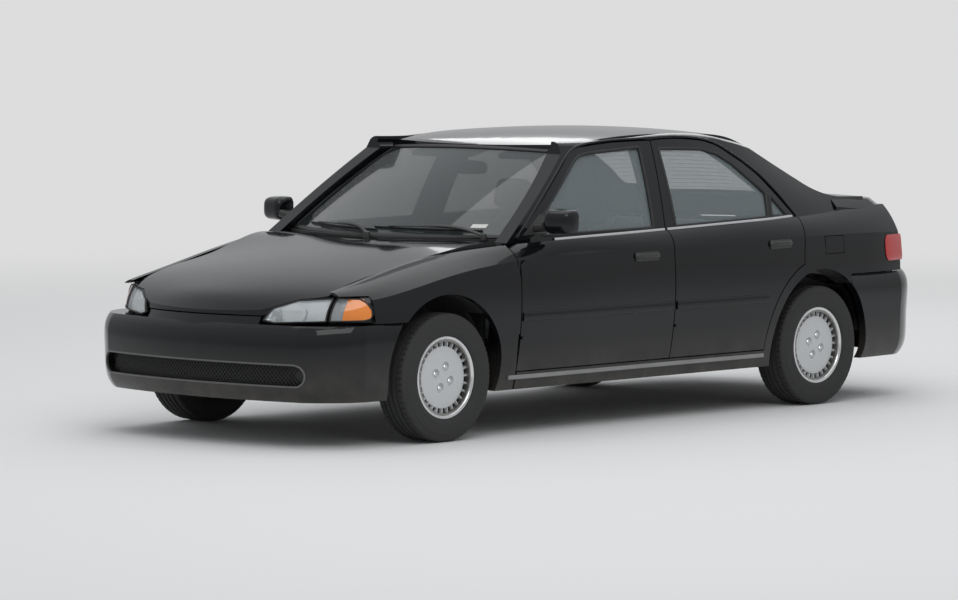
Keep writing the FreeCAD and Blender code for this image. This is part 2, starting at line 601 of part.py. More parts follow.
def make_wheel():
    """Rim, cover and hub about the origin, the cover towards +X."""
    rim_half = RIM_WIDTH / 2
    flange = RIM_FLANGE_RADIUS
    seat = RIM_SEAT_RADIUS
    inside = seat - RIM_WALL
    barrel = ((-rim_half, flange), (-rim_half + 8.0, flange), (-rim_half + 8.0, seat), (-28.0, seat),
              (-18.0, seat - 14.0), (18.0, seat - 14.0), (28.0, seat), (rim_half - 8.0, seat),
              (rim_half - 8.0, flange), (rim_half, flange), (rim_half, inside), (24.0, inside),
              (14.0, inside - 14.0), (-14.0, inside - 14.0), (-24.0, inside), (-rim_half, inside))
    wheel = wheel_profile(barrel)
    lip_x = rim_half + 3.0
    face_x = lip_x + COVER_OFFSET
    cover = ((face_x - 6.0, 0.0), (face_x + 8.0, 0.0), (face_x + 7.0, 70.0, "m"),
             (face_x + 3.0, COVER_GROOVE_INNER), (face_x + 3.0, COVER_GROOVE_OUTER),
             (lip_x + 3.0, seat + 5.0), (lip_x + 4.0, flange, "m"), (lip_x + 2.0, COVER_RADIUS),
             (lip_x, COVER_RADIUS), (lip_x - 3.0, flange), (lip_x - 3.0, seat + 2.0),
             (face_x - 6.0, COVER_GROOVE_OUTER + 2.0))
    cover = wheel_profile(cover)
    depth = 30.0
    for i in range(4):
        a = math.radians(45.0 + 90.0 * i)
        y, z = LUG_CIRCLE_RADIUS * math.cos(a), LUG_CIRCLE_RADIUS * math.sin(a)
        cover = cover.cut(rod(LUG_RECESS_RADIUS, (face_x - 2.0, y, z), (face_x + depth, y, z)))
    hub = rod(HUB_RADIUS, (-30.0, 0, 0), (face_x - 6.0, 0, 0))
    wheel = wheel.fuse(cover).fuse(hub)
    return wheel.cut(rod(HUB_BORE_RADIUS, (-31.0, 0, 0), (-30.0 + SPINDLE_REACH, 0, 0)))


def at_wheel(shape, axle_y, left):
    placed = shape.copy()
    placed.translate(V(TRACK / 2, axle_y, TYRE_RADIUS))
    return placed if left else mirrored(placed)


def make_front_knuckle():
    """Left steering knuckle with its strut, about the inclined steering axis, and its spindle."""
    ball = V(STEER_BALL[0], FRONT_AXLE_Y, STEER_BALL[1])
    top = V(STRUT_TOP[0], FRONT_AXLE_Y, STRUT_TOP[1])
    axis = top - ball
    # The strut's ends are square to its axis, and their lowest and highest points lie at the joints.
    trim = STRUT_RADIUS * abs(axis.x) / axis.z ** 2
    strut = Part.makeCylinder(STRUT_RADIUS, axis.Length * (1.0 - 2.0 * trim), ball + axis * trim, axis)
    hub_x = TRACK / 2 - 30.0
    carrier = rod(KNUCKLE_RADIUS, (655.0, FRONT_AXLE_Y, TYRE_RADIUS),
                  (hub_x - 1.0, FRONT_AXLE_Y, TYRE_RADIUS))
    spindle = rod(SPINDLE_RADIUS, (690.0, FRONT_AXLE_Y, TYRE_RADIUS),
                  (hub_x + SPINDLE_REACH - SEAT_GAP, FRONT_AXLE_Y, TYRE_RADIUS))
    return strut.fuse(carrier).fuse(spindle)


def make_front_suspension():
    """Cross member on the chassis legs, with a lower arm to each ball joint and the drive shafts."""
    y = FRONT_AXLE_Y
    x = STEER_BALL[0]
    arm_top = STEER_BALL[1] - SEAT_GAP
    frame = block(-455.0, 455.0, y + 30.0, y + 110.0, 190.0, 248.0)
    for sign in (1.0, -1.0):
        post = block(410.0, 450.0, y + 40.0, y + 100.0, 240.0, LEG_Z[0] - SEAT_GAP)
        arm = plan_prism(((x + 22.0, y), (x, y + 24.0, "m"), (x - 24.0, y + 16.0), (445.0, y + 105.0),
                          (380.0, y + 105.0), (380.0, y + 35.0), (x - 24.0, y - 18.0), (x, y - 24.0, "m")),
                         arm_top - 16.0, arm_top)
        for piece in (post, arm):
            frame = frame.fuse(piece if sign > 0 else mirrored(piece))
    return frame


def make_rear_suspension():
    """Cross tube with a trailing arm, hub carrier, spindle and strut on each side."""
    y, z = REAR_AXLE_Y, TYRE_RADIUS
    frame = rod(REAR_BEAM_RADIUS, (-600.0, y, z - 60.0), (600.0, y, z - 60.0))
    for sign in (1.0, -1.0):
        carrier = block(565.0, 628.0, y - 45.0, y + 45.0, z - 90.0, z + 50.0)
        neck = rod(KNUCKLE_RADIUS - 10.0, (600.0, y, z), (TRACK / 2 - 31.0, y, z))
        spindle = rod(SPINDLE_RADIUS, (620.0, y, z), (TRACK / 2 - 30.0 + SPINDLE_REACH - SEAT_GAP, y, z))
        arm = block(560.0, 595.0, 830.0, y, z - 80.0, z - 40.0)
        bracket = block(560.0, 595.0, 830.0, 880.0, z - 80.0, TRUNK_FLOOR_Z - SEAT_GAP)
        strut = rod(22.0, (585.0, y, z), (560.0, y, TRUNK_FLOOR_Z + 60.0))
        strut = strut.common(block(400.0, 700.0, y - 80.0, y + 80.0, z - 20.0, TRUNK_FLOOR_Z - SEAT_GAP))
        for piece in (carrier, neck, spindle, arm, bracket, strut):
            frame = frame.fuse(piece if sign > 0 else mirrored(piece))
    return frame


def make_floor():
    """Pressed floor from the firewall to the tail, as one folded sheet."""
    t = FLOOR_SHEET
    y0, z0, zt = FIREWALL_Y, SILL_BOTTOM_Z, TRUNK_FLOOR_Z
    profile = ((y0, COWL_Z - SEAT_GAP), (y0, 390.0), (y0 + 150.0, z0), (745.0, z0), (815.0, zt),
               (FLOOR_END_Y, zt), (FLOOR_END_Y, zt + t), (802.0, zt + t), (732.0, z0 + t),
               (y0 + 160.0, z0 + t), (y0 + t, 396.0), (y0 + t, COWL_Z - SEAT_GAP))
    half = SILL_INNER_X - SEAT_GAP
    floor = side_prism(profile, -half, half)
    house = REAR_HOUSE_X - HOUSE_SHEET - SEAT_GAP
    for x0, x1 in ((house, 800.0), (-800.0, -house)):
        floor = floor.cut(block(x0, x1, 850.0, 1620.0, 100.0, 500.0))
        floor = floor.cut(block(x0, x1, 1900.0, 2100.0, 100.0, 500.0))
    return floor


def make_inner_wing():
    """Left inner wing: apron, chassis leg, wheelhouse lining and strut tower."""
    y = FRONT_AXLE_Y
    end_y = FIREWALL_Y - SEAT_GAP
    apron = side_prism(((-2040.0, 300.0), (-2040.0, 512.0), (-1935.0, 512.0), (-1912.0, 540.0),
                        (-1892.0, 600.0), (-1500.0, 720.0), (end_y, 770.0), (end_y, 300.0)), 560.0, 590.0)
    leg = block(LEG_X[0], LEG_X[1], -2040.0, end_y, LEG_Z[0], LEG_Z[1])
    lining = wheel_drum(WHEELHOUSE_CLEAR + HOUSE_SHEET, y, FRONT_HOUSE_X - HOUSE_SHEET, 690.0)
    lining = lining.common(block(400.0, 900.0, -2040.0, end_y, LEG_Z[0], 720.0))
    rim = wheel_drum(WHEELHOUSE_CLEAR + HOUSE_SHEET, y, 680.0, 840.0)
    rim = rim.common(block(600.0, 900.0, y - 250.0, end_y, 560.0, 720.0))
    rim = rim.cut(flank_layer(-60.0, SKIN + SEAT_GAP))
    wing = apron.fuse(leg).fuse(lining).fuse(rim)
    tower = rod(TOWER_RADIUS, (STRUT_TOP[0], y, 600.0), (STRUT_TOP[0], y, STRUT_TOP[1] + 14.0))
    room = TOWER_RADIUS - TOWER_WALL
    inside = rod(room, (STRUT_TOP[0], y, 500.0), (STRUT_TOP[0], y, STRUT_TOP[1] + SEAT_GAP))
    wing = wing.fuse(tower.common(block(400.0, 900.0, y - 200.0, y + 200.0, 660.0, 730.0)))
    wing = wing.cut(wheel_drum(WHEELHOUSE_CLEAR, y, FRONT_HOUSE_X, 950.0)).cut(inside)
    return wing


def make_radiator():
    """Radiator with the uprights that pass under the bumper's shelf to the headlamps' housings."""
    core = block(-559.7, 559.7, -2069.7, -2040.3, 300.0, 500.0)
    y = LAMP_BACK_Y + SEAT_GAP
    upright = side_prism(((-2060.0, 490.0), (-2060.0, 510.0), (-1994.0, 514.0), (y, 552.0), (y, 604.0),
                          (y + 8.0, 604.0), (y + 8.0, 545.0), (-1984.0, 498.0), (-2045.0, 490.0)),
                         430.0, 485.0)
    return core.fuse(upright).fuse(mirrored(upright))


def make_seat(x0, x1, front_y, base_z, width_cut):
    """Seat with cushion, raked back, head restraint and base as one closed form."""
    cushion = ((front_y, base_z + 60.0), (front_y, base_z + 200.0), (front_y + 60.0, base_z + 236.0, "m"),
               (front_y + 150.0, base_z + 225.0), (front_y + 500.0, base_z + 190.0),
               (front_y + 520.0, base_z + 60.0))
    back = ((front_y + 400.0, base_z + 120.0), (front_y + 600.0, base_z + 690.0),
            (front_y + 650.0, base_z + 712.0, "m"), (front_y + 700.0, base_z + 690.0),
            (front_y + 540.0, base_z + 120.0))
    seat = side_prism(cushion, x0, x1).fuse(side_prism(back, x0 + width_cut, x1 - width_cut))
    return seat


def make_front_seats():
    seats = []
    for sign in (1.0, -1.0):
        base_z = SILL_BOTTOM_Z + FLOOR_SHEET + SEAT_GAP
        seat = make_seat(120.0, 620.0, -360.0, base_z, 20.0)
        rails = block(170.0, 570.0, -320.0, 120.0, base_z, base_z + 80.0)
        head = side_prism(((275.0, 900.0), (300.0, 1085.0), (340.0, 1105.0, "m"), (385.0, 1080.0),
                           (365.0, 900.0)), 250.0, 490.0)
        seat = seat.fuse(rails).fuse(head)
        seats.append(seat if sign > 0 else mirrored(seat))
    return seats


def make_rear_seat():
    z = TRUNK_FLOOR_Z + FLOOR_SHEET + SEAT_GAP
    half = REAR_HOUSE_X - HOUSE_SHEET - 6.0
    bench = side_prism(((820.0, z), (700.0, z + 60.0), (700.0, z + 130.0), (740.0, z + 165.0, "m"),
                        (800.0, z + 165.0), (1130.0, z + 130.0), (1130.0, z)), -half, half)
    back = side_prism(((1040.0, z + 60.0), (1180.0, z + 500.0), (1230.0, z + 530.0, "m"),
                       (1290.0, z + 510.0), (1240.0, z + 60.0)), -half, half)
    return bench.fuse(back)


def make_cowl():
    """Plenum cover between the hood and the windscreen, with the lip that carries the glass."""
    tray = plan_prism(COWL_PLAN, COWL_Z, COWL_Z + COWL_SHEET)
    lip = plan_prism(((-696.0, -868.0), (0.0, -1070.0, "m"), (696.0, -868.0), (696.0, -826.0),
                      (0.0, -1030.0, "m"), (-696.0, -826.0)), COWL_Z, 876.0)
    cowl = tray.fuse(lip)
    y, z, x, radius = HOOD_HINGE
    lug = cross_rod(HOOD_HINGE, radius, x, x + LUG_WIDTH)
    lug = lug.fuse(block(x, x + LUG_WIDTH, y - radius, y + radius, COWL_Z, z))
    return cowl.fuse(lug).fuse(mirrored(lug))


def make_dashboard():
    front = FIREWALL_Y + FLOOR_SHEET + SEAT_GAP
    dash = side_prism(((front, 600.0), (front, 820.0), (-860.0, 862.0), (-640.0, 868.0),
                       (-570.0, 845.0, "m"), (-545.0, 790.0), (-590.0, 600.0)), -690.0, 690.0)
    hood = side_prism(((-760.0, 850.0), (-620.0, 905.0), (-560.0, 900.0), (-545.0, 780.0)), 200.0, 540.0)
    console = block(-110.0, 110.0, -800.0, -560.0, SILL_BOTTOM_Z + FLOOR_SHEET + SEAT_GAP, 640.0)
    tilt = math.radians(COLUMN_TILT)
    cx, cy, cz = STEERING_WHEEL_CENTRE
    reach = 240.0
    column = rod(28.0, (cx, cy - reach * math.cos(tilt), cz - reach * math.sin(tilt)),
                 (cx, cy - 34.0 * math.cos(tilt), cz - 34.0 * math.sin(tilt)))
    dash = dash.cut(plan_prism(COWL_PLAN, COWL_Z - SEAT_GAP, 1000.0))
    return dash.fuse(hood).fuse(console).fuse(column)


def make_steering_wheel():
    """Rim, three spokes and a padded boss, turned to the column's tilt."""
    rim = Part.makeTorus(STEERING_WHEEL_RADIUS, STEERING_RIM)
    boss = rod(62.0, (0, 0, -33.7), (0, 0, 6.0))
    wheel = rim.fuse(boss)
    for angle in (90.0, 215.0, 325.0):
        spoke = block(0.0, STEERING_WHEEL_RADIUS, -20.0, 20.0, -12.0, 0.0)
        spoke.rotate(V(0, 0, 0), V(0, 0, 1), angle - 180.0)
        wheel = wheel.fuse(spoke)
    # The wheel's own Z axis points at the driver, which is +Y raised by the column's tilt.
    wheel.rotate(V(0, 0, 0), V(1, 0, 0), -(90.0 - COLUMN_TILT))
    wheel.translate(V(*STEERING_WHEEL_CENTRE))
    return wheel


def make_mirror():
    """Left door mirror: shell and glass as one rigid form on the door's sail corner."""
    shell = plan_prism(((812.0, -742.0), (838.0, -830.0), (925.0, -822.0, "m"), (985.0, -765.0),
                        (985.0, -712.0), (838.0, -690.0)), 895.0, 1020.0)
    foot = side_prism(((-795.0, 892.0), (-705.0, 892.0), (-700.0, 945.0), (-760.0, 945.0)), 700.0, 850.0)
    return shell.fuse(foot).cut(house_layer(-SEAT_GAP, 100.0))


def slot_prism(half, z0, z1, y0, y1):
    """Slot with round ends, seen from the front."""
    r = (z1 - z0) / 2
    zc = (z0 + z1) / 2
    return front_prism(((-half + r, z0), (half - r, z0), (half, zc, "m"), (half - r, z1), (-half + r, z1),
                        (-half, zc, "m")), y0, y1)


def make_front_bumper():
    shell = shell_form(FRONT_BUMPER_LEVELS, FRONT_PLAN, FRONT_FACE_Y, BUMPER_WALL)
    shelf = stacked_form(BUMPER_SHELF, FRONT_PLAN, FRONT_FACE_Y, 0.0)
    shelf = shelf.cut(stacked_form(BUMPER_SHELF, NOSE_PLAN, FRONT_FACE_Y, BUMPER_WALL))
    shell = shell.fuse(shelf.common(block(-900.0, 900.0, -2300.0, -1700.0, 500.0, 560.0)))
    shell = shell.cut(slot_prism(INTAKE_HALF, INTAKE_Z[0], INTAKE_Z[1], FRONT_FACE_Y - 20.0, -1980.0))
    band = stacked_form(((530.0, 24.0, 20.0), (BAND_TOP_Z, 45.0, 20.0)), NOSE_PLAN, FRONT_FACE_Y, 0.0)
    band = band.common(block(-BAND_HALF, BAND_HALF, -2300.0, -2055.0, 500.0, 600.0))
    beam = block(-520.0, 520.0, -2140.0, -2070.0, 400.0, 490.0)
    shell = shell.fuse(band).fuse(beam)
    for sign in (1.0, -1.0):
        arch = arch_drum(FRONT_AXLE_Y)
        shell = shell.cut(arch if sign > 0 else mirrored(arch))
    return shell


def make_rear_bumper():
    shell = shell_form(REAR_BUMPER_LEVELS, REAR_PLAN, REAR_FACE_Y, BUMPER_WALL)
    beam = block(-520.0, 520.0, FLOOR_END_Y + 2.0 * SEAT_GAP + TAIL_PLATE, 2170.0, 420.0, 520.0)
    shell = shell.fuse(beam)
    for sign in (1.0, -1.0):
        arch = arch_drum(REAR_AXLE_Y)
        shell = shell.cut(arch if sign > 0 else mirrored(arch))
    return shell


def both_sides(shape):
    return [shape, mirrored(shape)]


def make_front_lamps():
    nose = shell_form(NOSE_LEVELS, NOSE_PLAN, FRONT_FACE_Y, LAMP_DEPTH)
    head = nose.common(front_prism(HEADLAMP, -2300.0, -1850.0))
    head = head.fuse(block(LAMP_BACK[0], LAMP_BACK[1], -2060.0, LAMP_BACK_Y, LAMP_BACK[2], LAMP_BACK[3]))
    corner = nose.common(front_prism(CORNER_LAMP, -2300.0, CORNER_LAMP_END_Y))
    return both_sides(head) + both_sides(corner)


def tail_body(inset):
    """Solid tail under the crowned deck, drawn in from its skin."""
    return stacked_form(TAIL_LEVELS, TAIL_PLAN, REAR_FACE_Y, inset).common(
        crowned(DECK_STATIONS, DECK_HALF, 500.0, inset))


def make_tail_lamps():
    shell = tail_body(0.0).cut(stacked_form(TAIL_LEVELS, TAIL_PLAN, REAR_FACE_Y, LAMP_DEPTH))
    return both_sides(shell.common(front_prism(TAIL_LAMP, TAIL_LAMP_END_Y, 2300.0)))


def lid_space(gap, front_gap):
    """Space of the trunk lid: its plan outline over the deck and its outline seen from behind."""
    top = tuple((x + math.copysign(gap, x), y - front_gap if y < 2000.0 else y) for x, y in LID_TOP)
    above = plan_prism(top, LID_REAR[1][1] - gap, 1100.0)
    return above.fuse(front_prism(grown(LID_REAR, gap), 1950.0, 2300.0))


def lid_slot(grow):
    """Slot of one lid hinge lug, open below and in front."""
    y, z, x, radius = LID_HINGE
    r = radius + grow
    slot = cross_rod(LID_HINGE, r, x - grow, x + LUG_WIDTH + grow)
    slot = slot.fuse(block(x - grow, x + LUG_WIDTH + grow, y - 30.0, y + r, z - 60.0, z))
    return slot.fuse(block(x - grow, x + LUG_WIDTH + grow, y - 30.0, y, z - 60.0, z + r))


def make_trunk_lid(tail):
    lid = tail.common(lid_space(0.0, 0.0))
    slot = lid_slot(SEAT_GAP)
    return lid.cut(slot).cut(mirrored(slot))


def make_rear_panel(tail, side_left, rear_window):
    """Tail corners, sill below the lid, deck edges, parcel shelf and the lid's hinge lugs."""
    keep = plan_prism(((-720.0, 1474.0), (0.0, 1526.0, "m"), (720.0, 1474.0), (720.0, 1886.0),
                       (900.0, 1886.0), (900.0, 2300.0), (-900.0, 2300.0), (-900.0, 1886.0),
                       (-720.0, 1886.0)), 500.0, 1100.0)
    panel = tail.common(keep).cut(lid_space(SHUT_GAP, LID_FRONT_GAP))
    y, z, x, radius = LID_HINGE
    for sign in (1.0, -1.0):
        reach = LID_TOP[2][0] + SHUT_GAP
        panel = panel.cut(Part.makeCone(LID_POCKET[0], LID_POCKET[1], reach, V(0, y, z), V(sign, 0, 0)))
        panel = panel.cut(front_prism(tuple((sign * px, pz) for px, pz in grown(TAIL_LAMP, 1.0)),
                                      TAIL_LAMP_END_Y - 1.0, 2300.0))
    plate = block(-598.0, 598.0, FLOOR_END_Y + SEAT_GAP, FLOOR_END_Y + SEAT_GAP + TAIL_PLATE, 300.0, 633.0)
    ledge = stacked_form(TAIL_LEVELS, TAIL_PLAN, REAR_FACE_Y, 10.0).common(
        block(-598.0, 598.0, FLOOR_END_Y + SEAT_GAP, 2300.0, 600.0, 633.0))
    shelf = block(-590.0, 590.0, 1296.0, 1669.0, 900.0, 914.0)
    riser = block(-590.0, 590.0, 1655.0, 1669.0, 900.0, 972.0)
    panel = panel.fuse(plate).fuse(ledge).fuse(shelf).fuse(riser)
    arm = side_prism(((1662.0, 905.0), (1662.0, 925.0), (y - radius, 940.0), (y - radius, z),
                      (y + radius, z), (y + radius, 925.0), (1700.0, 915.0)), x, x + LUG_WIDTH)
    arm = arm.fuse(cross_rod(LID_HINGE, radius, x, x + LUG_WIDTH))
    panel = panel.fuse(arm).fuse(mirrored(arm)).cut(rear_window)
    return panel.cut(side_left).cut(mirrored(side_left))


if __name__ == "__main__":
    os.makedirs("parts", exist_ok=True)
    windscreen = glass_sheet(WINDSCREEN_ROWS)
    rear_window = glass_sheet(REAR_WINDOW_ROWS)
    save("windscreen", windscreen)
    save("rear_window", rear_window)
    side = make_body_side((windscreen, rear_window))
    save("body_side_left", fit_fuel_door(side))
    save("body_side_right", mirrored(side))
    fender = make_fender()
    save("front_fenders", *both_sides(fender))
    save("fuel_door", make_fuel_door())
    for name, outline, box, windows, edge in (
            ("front", FRONT_DOOR, FRONT_BOX, (FRONT_WINDOW,), FRONT_DOOR_EDGE_Y),
            ("rear", REAR_DOOR, REAR_BOX, (REAR_WINDOW, QUARTER_WINDOW), REAR_DOOR_EDGE_Y)):
        door = make_door(outline, box, windows, edge)
        panes = make_door_glass(windows)
        save("door_%s_left" % name, door)
        save("door_%s_right" % name, mirrored(door))
        save("door_glass_%s_left" % name, *panes)
        save("door_glass_%s_right" % name, *[mirrored(p) for p in panes])
    save("mirror_left", make_mirror())
    save("mirror_right", mirrored(make_mirror()))
    save("hood", make_hood())
    save("front_bumper", make_front_bumper())
    save("rear_bumper", make_rear_bumper())
    save("front_lamps", *make_front_lamps())
    save("tail_lamps", *make_tail_lamps())
    tail = tail_body(0.0).cut(tail_body(PANEL))
    save("trunk_lid", make_trunk_lid(tail))
    save("rear_panel", make_rear_panel(tail, side, rear_window))
    roof = crowned(ROOF_STATIONS, ROOF_HALF + 20.0, PANEL)
    roof = roof.common(plan_prism(((-560.0, -300.0), (0.0, -378.0, "m"), (560.0, -300.0), (575.0, 925.0),
                                   (0.0, 968.0, "m"), (-575.0, 925.0)), 1200.0, 1400.0))
    doorway = door_space(FRONT_DOOR).fuse(door_space(REAR_DOOR))
    for piece in (side, mirrored(side), doorway, mirrored(doorway), windscreen, rear_window):
        roof = roof.cut(piece)
    save("roof_panel", roof)
    save("floor_pan", make_floor())
    save("inner_wings", *both_sides(make_inner_wing()))
    save("radiator", make_radiator())
    cowl = make_cowl().cut(windscreen).cut(side).cut(mirrored(side))
    save("cowl_panel", cowl)
    save("engine", block(-350.0, 385.0, -1900.0, -1230.0, 248.3, 640.0))
    save("front_suspension", make_front_suspension())
    save("rear_suspension", make_rear_suspension())
    save("fuel_tank", block(-450.0, 450.0, 840.0, 1130.0, 200.0, TRUNK_FLOOR_Z - SEAT_GAP))
    pipe = rod(22.0, (60.0, -1250.0, 178.0), (60.0, 1500.0, 178.0))
    pipe = pipe.fuse(rod(22.0, (60.0, -1250.0, 178.0), (60.0, -1250.0, 248.0)))
    muffler = block(-60.0, 330.0, 1450.0, 1900.0, 170.0, 300.0)
    tail_pipe = rod(18.0, (200.0, 1880.0, 184.0), (200.0, 2120.0, 184.0))
    hangers = block(120.0, 150.0, 1600.0, 1630.0, 290.0, TRUNK_FLOOR_Z - SEAT_GAP)
    save("exhaust", pipe.fuse(muffler).fuse(tail_pipe).fuse(hangers))
    save("dashboard", make_dashboard())
    save("front_seats", *make_front_seats())
    save("rear_seat", make_rear_seat())
    save("steering_wheel", make_steering_wheel())
    knuckle = make_front_knuckle()
    save("knuckle_left", knuckle)
    save("knuckle_right", mirrored(knuckle))
    tyre, wheel = make_tyre(), make_wheel()
    for name, axle_y, left in (("front_left", FRONT_AXLE_Y, True), ("front_right", FRONT_AXLE_Y, False),
                               ("rear_left", REAR_AXLE_Y, True), ("rear_right", REAR_AXLE_Y, False)):
        save("tyre_%s" % name, at_wheel(tyre, axle_y, left))
        save("wheel_%s" % name, at_wheel(wheel, axle_y, left))
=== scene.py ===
"""Dresses a compact four-door sedan of the early 1990s: paint, glass, lamps, wheels, trims and cabin.

Lengths are in metres, Z is up, the car faces -Y and +X is its left side.
"""

from __future__ import annotations

import json
import logging
import math
from dataclasses import dataclass, field
from enum import Enum
from typing import Sequence

import bmesh
import bpy
import numpy as np
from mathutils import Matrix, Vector

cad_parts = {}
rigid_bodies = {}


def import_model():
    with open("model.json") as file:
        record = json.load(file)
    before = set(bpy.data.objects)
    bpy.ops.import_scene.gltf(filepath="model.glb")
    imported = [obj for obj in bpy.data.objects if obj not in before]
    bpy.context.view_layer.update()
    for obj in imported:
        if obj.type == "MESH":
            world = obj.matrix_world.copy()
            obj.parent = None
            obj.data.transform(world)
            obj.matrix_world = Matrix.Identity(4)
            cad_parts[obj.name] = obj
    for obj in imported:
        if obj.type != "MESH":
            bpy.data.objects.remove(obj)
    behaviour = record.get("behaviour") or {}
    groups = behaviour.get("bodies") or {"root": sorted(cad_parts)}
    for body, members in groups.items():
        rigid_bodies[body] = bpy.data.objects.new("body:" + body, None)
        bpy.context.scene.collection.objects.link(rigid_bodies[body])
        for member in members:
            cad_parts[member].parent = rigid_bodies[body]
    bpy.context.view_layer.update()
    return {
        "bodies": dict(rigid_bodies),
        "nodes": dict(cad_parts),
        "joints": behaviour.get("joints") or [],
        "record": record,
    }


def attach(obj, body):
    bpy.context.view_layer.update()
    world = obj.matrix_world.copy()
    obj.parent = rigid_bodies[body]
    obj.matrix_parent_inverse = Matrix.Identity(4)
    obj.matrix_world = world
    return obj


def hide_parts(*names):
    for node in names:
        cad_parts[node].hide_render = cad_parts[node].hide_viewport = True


LOG = logging.getLogger("sedan")

BODY_LENGTH = 4.395
FRONT_AXLE_Y = -1.3975
REAR_AXLE_Y = 1.2225
HALF_TRACK = 0.735
WHEEL_Z = 0.288
FRONT_FACE_Y = -BODY_LENGTH / 2
REAR_FACE_Y = BODY_LENGTH / 2

# Side form, nose to tail. Columns: y, then x and z of the sill's lower edge, of the widest line,
# of the shoulder crease and of the upper edge.
SIDE_STATIONS = np.array((
    (-2080, 600, 225, 650, 480, 640, 620, 560, 640), (-1945, 700, 220, 738, 490, 716, 634, 650, 684),
    (-1850, 750, 215, 785, 500, 756, 645, 655, 705), (-1400, 785, 205, 834, 530, 824, 735, 664, 806),
    (-900, 790, 205, 847.5, 540, 838, 792, 785, 860), (0, 790, 205, 847.5, 545, 840, 806, 797, 880),
    (900, 790, 205, 847.5, 545, 836, 816, 786, 902), (1400, 785, 205, 836, 545, 822, 818, 735, 922),
    (1850, 762, 210, 806, 540, 790, 812, 690, 944),
    (2090, 700, 215, 742, 530, 724, 800, 640, 930))) / 1000.0

# Greenhouse side. Columns: y, x at the belt, x and z of the drip, x and z of the roof's edge.
HOUSE_STATIONS = np.array((
    (-1000, 768, 598, 1262, 548, 1277), (-300, 783, 604, 1284, 553, 1301),
    (300, 786, 606, 1303, 553, 1322), (620, 782, 602, 1297, 550, 1316),
    (900, 774, 592, 1254, 539, 1271), (1750, 690, 560, 1150, 505, 1168))) / 1000.0

Grid = np.ndarray


class Side(Enum):
    """Side of the car, whose value is the sign of X there."""

    LEFT = 1.0
    RIGHT = -1.0

    @property
    def word(self) -> str:
        """The side's name in the nodes' names."""
        return self.name.lower()


def spline(knots: Grid, values: Grid, at: Grid) -> Grid:
    """Natural cubic spline: second derivatives from the tridiagonal system, then the cubic of each span.

    Args:
        knots: Rising knot positions, n of them.
        values: One row of values for each knot.
        at: Positions to read the spline at.

    Returns:
        One row of values for each position.
    """
    values = np.asarray(values, float).reshape(len(knots), -1)
    h = np.diff(knots)
    system = np.eye(len(knots))
    right = np.zeros_like(values)
    rows = np.arange(1, len(knots) - 1)
    system[rows, rows - 1] = h[:-1]
    system[rows, rows] = 2.0 * (h[:-1] + h[1:])
    system[rows, rows + 1] = h[1:]
    slope = np.diff(values, axis=0) / h[:, None]
    right[1:-1] = 6.0 * np.diff(slope, axis=0)
    bend = np.linalg.solve(system, right)
    at = np.clip(np.asarray(at, float), knots[0], knots[-1])
    i = np.clip(np.searchsorted(knots, at) - 1, 0, len(knots) - 2)
    w, t = h[i][:, None], (at - knots[i])[:, None]
    u = w - t
    curved = (bend[i] * u ** 3 + bend[i + 1] * t ** 3) / (6.0 * w)
    return curved + (values[i] / w - bend[i] * w / 6.0) * u \
        + (values[i + 1] / w - bend[i + 1] * w / 6.0) * t


def arc_x(z: Grid, low: Grid, middle: Grid, high: Grid) -> Grid:
    """X of the circular arc through three (x, z) points at height z, on the arc's outer side.

    Args:
        z: Heights.
        low: Lower points, one (x, z) row for each height.
        middle: Points between them.
        high: Upper points.

    Returns:
        The arc's x at each height.
    """
    a, b = middle - low, high - low
    cross = 2.0 * (a[:, 0] * b[:, 1] - a[:, 1] * b[:, 0])
    a2, b2 = (a ** 2).sum(1), (b ** 2).sum(1)
    cx = low[:, 0] + (b[:, 1] * a2 - a[:, 1] * b2) / cross
    cz = low[:, 1] + (a[:, 0] * b2 - b[:, 0] * a2) / cross
    radius = np.hypot(low[:, 0] - cx, low[:, 1] - cz)
    bulge = np.where(cx < middle[:, 0], 1.0, -1.0)
    return cx + bulge * np.sqrt(np.maximum(radius ** 2 - (z - cz) ** 2, 0.0))


def flank_x(y: Grid, z: Grid) -> Grid:
    """X of the lower body's skin: an arc from sill to shoulder and a flatter arc from there to the belt.

    Args:
        y: Places along the car.
        z: Heights.

    Returns:
        The skin's x.
    """
    y, z = np.broadcast_arrays(np.asarray(y, float), np.asarray(z, float))
    s = spline(SIDE_STATIONS[:, 0], SIDE_STATIONS[:, 1:], y.ravel())
    zz = z.ravel()
    upper_mid = np.stack(((s[:, 4] + s[:, 6]) / 2 + 0.007, (s[:, 5] + s[:, 7]) / 2 + 0.005), 1)
    lower = arc_x(zz, s[:, 0:2], s[:, 2:4], s[:, 4:6])
    upper = arc_x(zz, s[:, 4:6], upper_mid, s[:, 6:8])
    return np.where(zz < s[:, 5], lower, upper).reshape(y.shape)


def house_x(y: Grid, z: Grid) -> Grid:
    """X of the greenhouse's side: one arc from the belt to the drip at each place along the car.

    Args:
        y: Places along the car.
        z: Heights.

    Returns:
        The side's x.
    """
    y, z = np.broadcast_arrays(np.asarray(y, float), np.asarray(z, float))
    s = spline(HOUSE_STATIONS[:, 0], HOUSE_STATIONS[:, 1:], y.ravel())
    foot = np.interp(y.ravel(), SIDE_STATIONS[:, 0], SIDE_STATIONS[:, 8]) - 0.014
    low = np.stack((s[:, 0], foot), 1)
    high = s[:, 1:3]
    middle = np.stack(((s[:, 0] + s[:, 1]) / 2 + 0.009, (foot + s[:, 2]) / 2), 1)
    return arc_x(z.ravel(), low, middle, high).reshape(y.shape)


